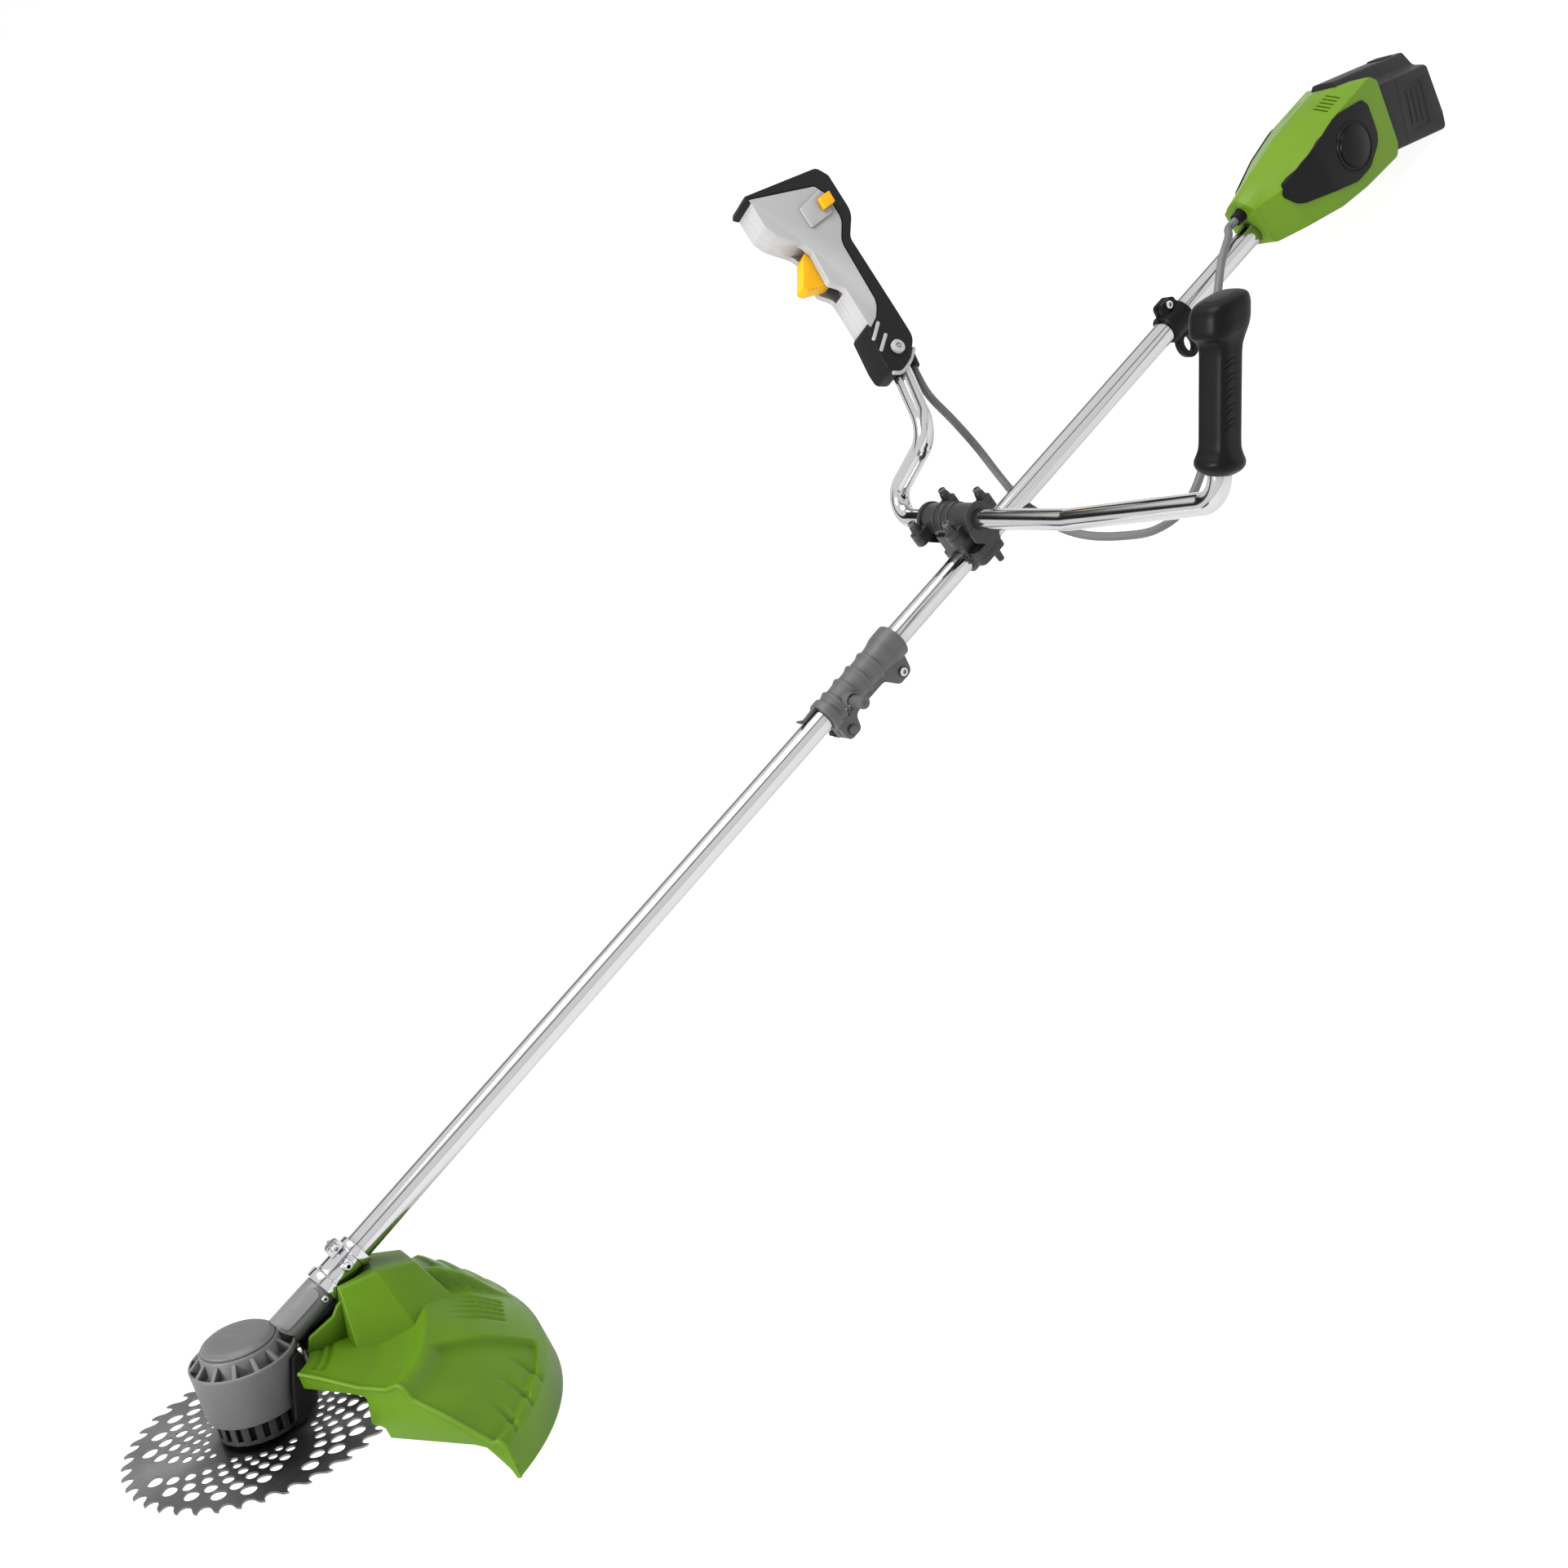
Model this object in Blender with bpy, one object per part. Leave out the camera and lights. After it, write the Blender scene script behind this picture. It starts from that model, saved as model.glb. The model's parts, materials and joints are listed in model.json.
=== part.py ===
"""Cordless brush cutter: separate pieces, real sizes, one frame (metres, +Z up).

The tool lies at rest on the rear lower edge of its guard and on the battery.
"tool" is the frame of the shaft: x to the user's left, y along the shaft to the
rear, z up, with its origin where the shaft axis meets the blade's spin axis.
"head" is that frame leaned by the blade angle, so that its z is the spin axis.
"""
import math

import bmesh
import bpy
from mathutils import Matrix, Vector

MM = 0.001

# Fits
GAP = 0.3 * MM
SLIDE_GAP = 0.5 * MM

# Shaft and its stations along the shaft axis
BLADE_ANGLE = math.radians(28)
TUBE_R = 13 * MM
TUBE_WALL = 1.5 * MM
NECK_END = 95 * MM
NECK_R_FRONT = 16.8 * MM
NECK_R_REAR = 15.8 * MM
NECK_SEAT = 58 * MM
SLEEVE_LENGTH = 47 * MM
SLEEVE_R = TUBE_R + 2.6 * MM
COLLAR_R = TUBE_R + 6 * MM
COLLAR_LENGTH = 10 * MM
COUPLER_FRONT = 824 * MM
COUPLER_LENGTH = 116 * MM
COUPLER_R = TUBE_R + 4 * MM
COUPLER_RINGS = 4
LUG_INSET = 18 * MM
INSERTION = 60 * MM
CORE_CABLE_R = 4 * MM
BAR_STATION = 1077 * MM
HANGER_STATION = 1446 * MM
HOUSING_FRONT = 1600 * MM
TUBE_IN_HOUSING = 42 * MM

# Motor head, heights on the spin axis
DRUM_R = 48 * MM
DRUM_TOP = 20 * MM
DRUM_BOTTOM_R = 44.5 * MM
DRUM_BOTTOM = -29.5 * MM
DRUM_BORE = 41.2 * MM
CAP_SEAT_R = 31.5 * MM
CAP_SEAT = 31.2 * MM
CAP_R = 33.5 * MM
CAP_DOME = 6.3 * MM
VENTS = 14
DRUM_SIDES = 42
SKIRT_R = 39.5 * MM
FIN_DEPTH = 2.8 * MM
FINS = 20
SKIRT_BOTTOM = -50 * MM
SKIRT_WALL = 3.3 * MM
STATOR_TOP = 8 * MM
STATOR_BOTTOM = -22 * MM
STATOR_BORE = 22 * MM
STATOR_TEETH = 12
ROTOR_AIR_GAP = 0.8 * MM
SPINDLE_R = 5 * MM
TOP_BEARING_R = 11 * MM
TOP_BEARING_WIDTH = 7 * MM
LOW_BEARING_R = 15 * MM
LOW_BEARING_WIDTH = 9 * MM

# Blade
BLADE_PLANE = -54.5 * MM
BLADE_R = 127.5 * MM
BLADE_THICKNESS = 2 * MM
TEETH = 40
TOOTH_DEPTH = 8 * MM
BLADE_BORE = 12.7 * MM
HOLE_GROUPS = 4
ARCS_PER_GROUP = 5
ARC_PITCH = math.radians(15)
HOLE_INSETS = [24.5 * MM, 35.5 * MM, 46.5 * MM, 57 * MM, 66.5 * MM, 75.5 * MM]
HOLE_SIZES = [7.4 * MM, 6.3 * MM, 5.4 * MM, 4.6 * MM, 4 * MM, 3.5 * MM]
HOLE_SIDES = 6
HOLE_ADVANCE = math.radians(7.4)
FIRST_HOLE = math.radians(-86)
INNER_FLANGE_R = 22 * MM
FLANGE_THICKNESS = 2.4 * MM
OUTER_FLANGE_R = 20 * MM
OUTER_FLANGE_HEIGHT = 4.2 * MM
NUT_HEIGHT = 9 * MM
NUT_R = 9.8 * MM

# Guard, angles round the spin axis from the user's left
GUARD_R = 267 * MM
GUARD_FROM = math.radians(33)
GUARD_TO = math.radians(128)
GUARD_WALL = 2.6 * MM
GUARD_INNER_R = 57 * MM
GUARD_RIM = -85 * MM
GUARD_DECK = -7 * MM
GUARD_EDGE = -48 * MM
GUARD_RISE = 17 * MM
KNEE_INSET = 102 * MM
SHOULDER_INSET = 59 * MM
EDGE_INSET = 20 * MM
LIP_INSET = 6 * MM
MOUNT_TOP_HALF = 26 * MM
MOUNT_FOOT_HALF = 54 * MM
MOUNT_CREST = 130 * MM
MOUNT_CORNER = 150 * MM
MOUNT_END = 172 * MM
MOUNT_TAIL = 202 * MM

# Handlebar
BAR_R = 11 * MM
BAR_WALL = 1.5 * MM
BAR_HEIGHT = 42 * MM
BAR_LEAN = math.radians(55)
BAR_BENDS = [32 * MM, 22 * MM, 60 * MM, 26 * MM]
CLAMP_HALF = 48 * MM
CLAMP_BARREL_R = 17 * MM
CLAMP_BOLT_X = 30 * MM
CLAMP_BOLT_Y = 26 * MM
SADDLE_BOLT_X = 22 * MM

# Control handle, in its own frame: a along the grip, b to the front, w sideways
HANDLE_HALF = 16 * MM
HANDLE_WALL = 3 * MM
HANDLE_BASE = (-73.8 * MM, 167.6 * MM, 0)
HANDLE_LEAN = math.radians(30.3)
BAR_IN_HANDLE = 44 * MM
TRIGGER_HALF = 8 * MM
TRIGGER_PIVOT = (0, 131 * MM, 48 * MM)
SWITCH_AT = (190 * MM, 20 * MM)
SWITCH_TURN = math.radians(-15)

# Left grip
GRIP_BASE = (395 * MM, 40 * MM, 0)
GRIP_LEAN = math.radians(5.5)
BAR_IN_GRIP = 118 * MM

# Harness hanger
EYE_DROP = -30 * MM

# Rear housing and battery
HOUSING_HALF = 47.5 * MM
HOUSING_WALL = 3 * MM
PANEL_THICKNESS = 1.6 * MM
BATTERY_HALF = 43.2 * MM
BATTERY_SLOPE = math.radians(20)
BATTERY_HEIGHT = 78 * MM
RIDGE_HALF = 16 * MM
RIDGE_HEIGHT = 20 * MM
BATTERY_LENGTH = 128 * MM
DOCK_SLACK = 3 * MM
CELL_R = 9 * MM
CELL_LENGTH = 65 * MM

# Control cable
CONDUIT_R = 4.7 * MM
CONDUIT_BORE = 3.2 * MM
CONDUIT_SLACK = 1 * MM
GLAND_R = 7.6 * MM
GLAND_UP = 26 * MM


# Scene and mesh helpers

def clear_scene():
    for obj in list(bpy.data.objects):
        bpy.data.objects.remove(obj, do_unlink=True)


def material(name, colour, roughness, metallic=0.0):
    mat = bpy.data.materials.new(name)
    mat.use_nodes = True
    shader = mat.node_tree.nodes["Principled BSDF"]
    shader.inputs["Base Color"].default_value = (*colour, 1.0)
    shader.inputs["Roughness"].default_value = roughness
    shader.inputs["Metallic"].default_value = metallic
    return mat


def frame(name, parent=None, location=(0, 0, 0), rotation=(0, 0, 0)):
    """An empty that carries pieces."""
    empty = bpy.data.objects.new(name, None)
    empty.parent = parent
    empty.location = location
    empty.rotation_euler = rotation
    bpy.context.scene.collection.objects.link(empty)
    return empty


def face_out(bm):
    bmesh.ops.recalc_face_normals(bm, faces=bm.faces)
    if bm.calc_volume(signed=True) < 0:
        bmesh.ops.reverse_faces(bm, faces=bm.faces)


def add(name, bm, parent, mat, location=(0, 0, 0), rotation=(0, 0, 0)):
    """Turn a closed bmesh into a named object with outward faces."""
    face_out(bm)
    mesh = bpy.data.meshes.new(name)
    bm.to_mesh(mesh)
    bm.free()
    mesh.shade_smooth()
    mesh.set_sharp_from_angle(angle=math.radians(35))
    obj = bpy.data.objects.new(name, mesh)
    obj.parent = parent
    obj.location = location
    obj.rotation_euler = rotation
    if mat:
        mesh.materials.append(mat)
    bpy.context.scene.collection.objects.link(obj)
    return obj


def boolean(target, bm, operation="DIFFERENCE", parent=None, location=(0, 0, 0), rotation=(0, 0, 0)):
    """Cut a shape from an object, or join one to it; the shape stays as a hidden guide."""
    guide_name = "guide_%s_%d" % (target.name, len(target.modifiers))
    guide = add(guide_name, bm, parent or target.parent, None, location, rotation)
    guide.hide_render = True
    guide.display_type = "WIRE"
    modifier = target.modifiers.new(guide_name, "BOOLEAN")
    modifier.operation = operation
    modifier.solver = "EXACT"
    modifier.object = guide
    return guide


def bevel(obj, width, segments=1, angle=40):
    modifier = obj.modifiers.new("edge", "BEVEL")
    modifier.width = width
    modifier.segments = segments
    modifier.limit_method = "ANGLE"
    modifier.angle_limit = math.radians(angle)
    return modifier


def turned(outline, segments, radius_at=None):
    """Turn an (r, z) outline round z. One that starts and ends at r = 0 is solid.

    radius_at(angle_index, r) may flute it.
    """
    solid = outline[0][0] == 0
    flat_start = solid and outline[0][1] == outline[1][1]
    flat_end = solid and outline[-1][1] == outline[-2][1]
    points = outline[flat_start:len(outline) - flat_end]
    bm = bmesh.new()
    rings = []
    for step in range(segments):
        angle = 2 * math.pi * step / segments
        ring = []
        for index, (r, z) in enumerate(points):
            if r == 0 and step:
                ring.append(rings[0][index])
                continue
            radius = radius_at(step, r) if radius_at else r
            ring.append(bm.verts.new((radius * math.cos(angle), radius * math.sin(angle), z)))
        rings.append(ring)
    spans = len(points) - 1 if solid else len(points)
    for step in range(segments):
        here = rings[step]
        after = rings[(step + 1) % segments]
        for index in range(spans):
            nxt = (index + 1) % len(points)
            bm.faces.new(dict.fromkeys((here[index], here[nxt], after[nxt], after[index])))
    if flat_start:
        bm.faces.new([ring[0] for ring in rings])
    if flat_end:
        bm.faces.new([ring[-1] for ring in rings])
    return bm


def loft(rings, closed=False):
    """Skin between rings of equal count, with flat ends unless the rings close on themselves."""
    bm = bmesh.new()
    verts = [[bm.verts.new(point) for point in ring] for ring in rings]
    count = len(rings[0])
    spans = len(rings) if closed else len(rings) - 1
    for span in range(spans):
        here = verts[span]
        after = verts[(span + 1) % len(rings)]
        for index in range(count):
            nxt = (index + 1) % count
            bm.faces.new((here[index], here[nxt], after[nxt], after[index]))
    if not closed:
        bm.faces.new(verts[0])
        bm.faces.new(verts[-1])
    return bm


def prism(outline, low, high, axes="xyz"):
    """Extrude an outline of (u, v) points along the third axis named in axes."""
    order = ["xyz".index(letter) for letter in axes]
    rings = []
    for level in (low, high):
        ring = []
        for u, v in outline:
            point = [0.0, 0.0, 0.0]
            point[order[0]] = u
            point[order[1]] = v
            point[order[2]] = level
            ring.append(point)
        rings.append(ring)
    return loft(rings)


def box(low, high):
    corners = [(low[0], low[1]), (high[0], low[1]), (high[0], high[1]), (low[0], high[1])]
    return prism(corners, low[2], high[2])


def rod(radius, low, high, segments=24, bore=0.0):
    """A round bar or tube along z."""
    if bore:
        outline = [(bore, low), (radius, low), (radius, high), (bore, high)]
    else:
        outline = [(0, low), (radius, low), (radius, high), (0, high)]
    return turned(outline, segments)


def merged(*shapes):
    """Put several shapes that don't touch into one bmesh, for use as a guide."""
    result = bmesh.new()
    for shape in shapes:
        mesh = bpy.data.meshes.new("part")
        face_out(shape)
        shape.to_mesh(mesh)
        shape.free()
        result.from_mesh(mesh)
        bpy.data.meshes.remove(mesh)
    return result


def placed(bm, location=(0, 0, 0), rotation=(0, 0, 0)):
    matrix = Matrix.Translation(location)
    for axis, angle in zip("XYZ", rotation):
        matrix = matrix @ Matrix.Rotation(angle, 4, axis)
    bmesh.ops.transform(bm, matrix=matrix, verts=bm.verts)
    return bm


def inset(outline, distance):
    """The outline moved inwards by a distance (negative moves it outwards)."""
    area = sum(a[0] * b[1] - b[0] * a[1] for a, b in zip(outline, outline[1:] + outline[:1]))
    side = 1 if area > 0 else -1
    count = len(outline)
    lines = []
    for index in range(count):
        a = Vector(outline[index])
        b = Vector(outline[(index + 1) % count])
        along = (b - a).normalized()
        inward = Vector((-along.y, along.x)) * side
        lines.append((a + inward * distance, along))
    result = []
    for index in range(count):
        point, along = lines[index - 1]
        point2, along2 = lines[index]
        cross = along.x * along2.y - along.y * along2.x
        offset = point2 - point
        if abs(cross) < 1e-6:
            result.append(tuple(point2))
            continue
        reach = (offset.x * along2.y - offset.y * along2.x) / cross
        result.append(tuple(point + along * reach))
    return result


def rounded_path(corners, radii, steps=5):
    """Corner points with each inner corner replaced by an arc of its own radius."""
    points = [Vector(corners[0])]
    for before, corner, after, radius in zip(corners, corners[1:], corners[2:], radii):
        before, corner, after = Vector(before), Vector(corner), Vector(after)
        to_before = (before - corner).normalized()
        to_after = (after - corner).normalized()
        half = to_before.angle(to_after) / 2
        reach = min(radius / math.tan(half), 0.45 * min((before - corner).length, (after - corner).length))
        arc_radius = reach * math.tan(half)
        centre = corner + (to_before + to_after).normalized() * (arc_radius / math.sin(half))
        start = corner + to_before * reach - centre
        end = corner + to_after * reach - centre
        total = start.angle(end)
        axis = start.cross(end)
        for step in range(steps + 1):
            turn = Matrix.Rotation(total * step / steps, 3, axis)
            points.append(centre + turn @ start)
    points.append(Vector(corners[-1]))
    return points


def path_frames(points):
    """Right-angled frames along a path, turned as little as they can be."""
    count = len(points)
    tangents = []
    for index in range(count):
        ahead = points[min(index + 1, count - 1)] - points[max(index - 1, 0)]
        tangents.append(ahead.normalized())
    side = tangents[0].orthogonal().normalized()
    frames = []
    for point, tangent in zip(points, tangents):
        side = (side - tangent * side.dot(tangent)).normalized()
        frames.append((point, side, tangent.cross(side)))
    return frames


def ring_round(point, side, up, radius, sides):
    ring = []
    for step in range(sides):
        angle = 2 * math.pi * step / sides
        ring.append(point + side * (radius * math.cos(angle)) + up * (radius * math.sin(angle)))
    return ring


def piped(points, radius, bore, sides=12):
    """A tube with an open bore along a path, closed at both end faces."""
    frames = path_frames([Vector(p) for p in points])
    outer = [ring_round(*place, radius, sides) for place in frames]
    inner = [ring_round(*place, bore, sides) for place in frames]
    return loft(outer + inner[::-1], closed=True)


def smooth_route(points, spacing):
    """Read evenly spaced points from a smooth curve through a hand-chosen route."""
    route = [Vector(p) for p in points]
    padded = [2 * route[0] - route[1]] + route + [2 * route[-1] - route[-2]]
    fine = []
    for a, b, c, d in zip(padded, padded[1:], padded[2:], padded[3:]):
        for step in range(24):
            t = step / 24
            fine.append(0.5 * (2 * b + (c - a) * t + (2 * a - 5 * b + 4 * c - d) * t * t
                               + (3 * b - a - 3 * c + d) * t ** 3))
    fine.append(route[-1])
    lengths = [0.0]
    for a, b in zip(fine, fine[1:]):
        lengths.append(lengths[-1] + (b - a).length)
    count = max(2, round(lengths[-1] / spacing))
    result = []
    index = 0
    for step in range(count + 1):
        wanted = lengths[-1] * step / count
        while index < len(fine) - 2 and lengths[index + 1] < wanted:
            index += 1
        share = (wanted - lengths[index]) / (lengths[index + 1] - lengths[index])
        result.append(fine[index].lerp(fine[index + 1], share))
    return result


# Outlines, in the frames named beside them

# Side view of the control handle's black spine and of its grey body: along the grip, to the front
SPINE_OUTLINE = [(196, 115), (203, 112), (235, 8), (225, -4), (176, -13), (144, 3), (50, -15), (16, -21), (-8, -6),
                 (-22, 12), (-20, 27), (-6, 30), (34, 32), (50, 17), (62, 10), (140, 21), (168, 8), (197, 14),
                 (190, 100)]
BODY_OUTLINE = [(199, 109), (212, 20), (200, 8), (168, 3), (140, 16), (62, 5), (44, 14), (30, 28),
                (84, 38), (91, 54), (129, 58), (140, 65), (153, 93), (164, 103)]
TRIGGER_OUTLINE = [(134, 40), (140, 50), (136, 60), (127, 68), (107, 76), (92, 83), (88, 77), (91, 60),
                   (93, 46)]
# Side view of the rear housing: along the shaft, up
HOUSING_OUTLINE = [(1600, -18), (1600, 44), (1624, 51), (1700, 58), (1745, 61), (1770, 53.5), (1821, 34.5),
                   (1806, -40), (1797, -51), (1735, -47), (1690, -40), (1640, -28)]
# Top view of the rear housing: half width, along the shaft
HOUSING_PLAN = [(24, 1590), (24, 1604), (37, 1640), (47.5, 1692), (47.5, 1830)]
PANEL_OUTLINE = [(1786, 33), (1791, 23), (1783, -17), (1752, -33), (1726, -33), (1645, -2), (1632, 20),
                 (1640, 30), (1741, 45)]
BADGE_CENTRE = (1747 * MM, -7 * MM)
BADGE_R = 21 * MM
# Battery pack seen from the side in its own frame: along the slide, up
PACK_REAR = 6.3 * MM
PACK_TOP = 34 * MM
BATTERY_SEAT = (0, 1895.5 * MM, -35.5 * MM)
# Left grip along its axis: station, half width, half depth, forward shift
GRIP_SECTIONS = [(0, 18.5, 18.5, 0), (3, 21, 21, 0), (13, 21, 21, 0), (20, 17.5, 17.5, 0), (108, 17, 17.5, 0),
                 (117, 18, 20, 1), (124, 20, 25, 3), (138, 20, 26, 4), (147, 17, 22, 4), (151, 9, 13, 4)]
# Control cable: hand-chosen route in the tool's frame, millimetres, handle end first
CABLE_ROUTE = [(-61, 1174, 128), (-56, 1178, 90),
               (-54, 1182, 50), (-46, 1180, 10), (-26, 1172, -17), (5, 1164, -30), (35, 1158, -44),
               (70, 1158, -54), (118, 1160, -56), (152, 1176, -62), (166, 1210, -63), (160, 1260, -52),
               (138, 1320, -30), (110, 1380, -8), (84, 1428, 8), (62, 1472, 20), (45, 1507, 29),
               (22, 1550, 30)]


def in_metres(points):
    return [tuple(value * MM for value in point) for point in points]


# Motor head

def to_tool(y, z):
    """A point given across and along the spin axis, in the tool's side view."""
    return (y * math.cos(BLADE_ANGLE) + z * math.sin(BLADE_ANGLE),
            -y * math.sin(BLADE_ANGLE) + z * math.cos(BLADE_ANGLE))


def drum_envelope(grow):
    """The head's outside, as a guide for what is cut to fit it."""
    low = DRUM_BOTTOM - 30 * MM
    dome = CAP_SEAT + CAP_DOME
    outline = [(0, low), (DRUM_BOTTOM_R + grow, low), (DRUM_BOTTOM_R + grow, DRUM_BOTTOM),
               (DRUM_R + grow, DRUM_TOP - 2 * MM), (DRUM_R + grow, DRUM_TOP + grow / 2),
               (CAP_R + 0.5 * MM + grow, CAP_SEAT + grow), (CAP_R + grow, CAP_SEAT + 2.4 * MM + grow / 2),
               (29 * MM + grow, dome - 2.2 * MM + grow), (20 * MM, dome - 0.4 * MM + grow), (0, dome + grow)]
    return turned(outline, DRUM_SIDES)


def motor_head(head, front, shaft, looks):
    shell = add("motor_housing", turned([
        (DRUM_BORE, DRUM_BOTTOM), (DRUM_BOTTOM_R, DRUM_BOTTOM), (DRUM_R, DRUM_TOP - 2 * MM), (DRUM_R, DRUM_TOP),
        (CAP_R + 0.5 * MM, CAP_SEAT), (CAP_SEAT_R, CAP_SEAT), (CAP_SEAT_R, CAP_SEAT - 3.2 * MM),
        (DRUM_BORE, DRUM_TOP - 6 * MM)], DRUM_SIDES), head, looks["drum"])
    vents = []
    for step in range(VENTS):
        turn = 2 * math.pi * (step + 0.5) / VENTS
        slot = box((36 * MM, -5.5 * MM, DRUM_TOP - 2 * MM), (45.5 * MM, 5.5 * MM, CAP_SEAT + 4 * MM))
        vents.append(placed(slot, rotation=(0, 0, turn)))
    boolean(shell, merged(*vents))
    boolean(shell, rod(6.5 * MM, 28 * MM, 62 * MM, 16), parent=shaft)

    boss_r = TOP_BEARING_R + 3 * MM
    bearing_top = CAP_SEAT - 11.7 * MM
    bearing_low = bearing_top - TOP_BEARING_WIDTH
    dome = CAP_SEAT + CAP_DOME
    add("motor_cap", turned([
        (0, dome), (20 * MM, dome - 0.4 * MM), (29 * MM, dome - 2.2 * MM), (CAP_R, CAP_SEAT + 2.4 * MM),
        (CAP_R, CAP_SEAT + GAP), (CAP_SEAT_R - GAP, CAP_SEAT + GAP), (CAP_SEAT_R - GAP, CAP_SEAT - 3 * MM),
        (CAP_SEAT_R - 3 * MM, CAP_SEAT - 3 * MM), (CAP_SEAT_R - 3 * MM, CAP_SEAT + 1 * MM),
        (boss_r, CAP_SEAT + 2 * MM), (boss_r, bearing_low), (TOP_BEARING_R + GAP, bearing_low),
        (TOP_BEARING_R + GAP, bearing_top + GAP), (8 * MM, bearing_top + GAP), (8 * MM, CAP_SEAT + 2 * MM),
        (0, CAP_SEAT + 2 * MM)], DRUM_SIDES // 2), head, looks["drum"])
    add("upper_bearing", rod(TOP_BEARING_R, bearing_low, bearing_top, 20, SPINDLE_R + GAP), head, looks["steel"])

    tooth = 4
    add("stator", turned([(STATOR_BORE, STATOR_BOTTOM), (DRUM_BORE - GAP, STATOR_BOTTOM),
                          (DRUM_BORE - GAP, STATOR_TOP), (STATOR_BORE, STATOR_TOP)], STATOR_TEETH * tooth,
                         lambda step, r: 33 * MM if r == STATOR_BORE and step % tooth > 1 else r),
        head, looks["copper"])

    base_low = SKIRT_BOTTOM
    skirt_top = DRUM_BOTTOM - 0.6 * MM
    hub_r = LOW_BEARING_R + 3.5 * MM
    bore_r = SKIRT_R - FIN_DEPTH - SKIRT_WALL
    fin = 3
    add("motor_skirt", turned([(bore_r, base_low), (SKIRT_R, base_low), (SKIRT_R, skirt_top), (bore_r, skirt_top)],
                              FINS * fin,
                              lambda step, r: SKIRT_R - FIN_DEPTH if r == SKIRT_R and step % fin == 2 else r),
        head, looks["skirt"])
    plug_r = bore_r - GAP
    bearing_floor = base_low + 3 * MM
    add("motor_base", turned([
        (LOW_BEARING_R - 4 * MM, base_low), (plug_r, base_low), (plug_r, DRUM_BOTTOM - 0.4 * MM),
        (DRUM_BORE - GAP, DRUM_BOTTOM - 0.4 * MM), (DRUM_BORE - GAP, DRUM_BOTTOM + 2.6 * MM),
        (plug_r - 3 * MM, DRUM_BOTTOM + 2.6 * MM), (plug_r - 3 * MM, bearing_floor), (hub_r, bearing_floor),
        (hub_r, bearing_floor + LOW_BEARING_WIDTH + 1 * MM),
        (LOW_BEARING_R + GAP, bearing_floor + LOW_BEARING_WIDTH + 1 * MM), (LOW_BEARING_R + GAP, bearing_floor),
        (LOW_BEARING_R - 4 * MM, bearing_floor)], 24), head, looks["aluminium"])
    add("lower_bearing", rod(LOW_BEARING_R, bearing_floor + GAP, bearing_floor + GAP + LOW_BEARING_WIDTH, 20,
                             SPINDLE_R + GAP), head, looks["steel"])

    neck = add("neck", turned([
        (9 * MM, 20 * MM), (NECK_R_FRONT, 20 * MM), (NECK_R_REAR, NECK_END), (TUBE_R + GAP, NECK_END),
        (TUBE_R + GAP, NECK_SEAT), (9 * MM, NECK_SEAT)], 24), shaft, looks["neck"])
    boolean(neck, drum_envelope(GAP), parent=head)
    tab_y = DRUM_R + 1.3 * MM
    tab = 3 * MM
    inner = [to_tool(tab_y, -43 * MM), to_tool(tab_y, 4 * MM), (49 * MM, -NECK_R_FRONT - 1.2 * MM),
             (NECK_END + 9 * MM, -COLLAR_R - 1.2 * MM)]
    outer = [(NECK_END + 9 * MM, -COLLAR_R - 4.2 * MM), (54 * MM, -COLLAR_R - 4.2 * MM),
             to_tool(tab_y + tab, 2 * MM), to_tool(tab_y + tab, -43 * MM)]
    bracket = add("guard_bracket", prism(inner + outer, -12 * MM, 12 * MM, "yzx"), front, looks["black"])
    screw_y, screw_z = to_tool(tab_y + tab, -1.5 * MM)
    boolean(bracket, rod(4 * MM, -1 * MM, 2.9 * MM, 12), "UNION", front, (0, screw_y, screw_z),
            (-math.pi / 2 - BLADE_ANGLE, 0, 0))


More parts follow.
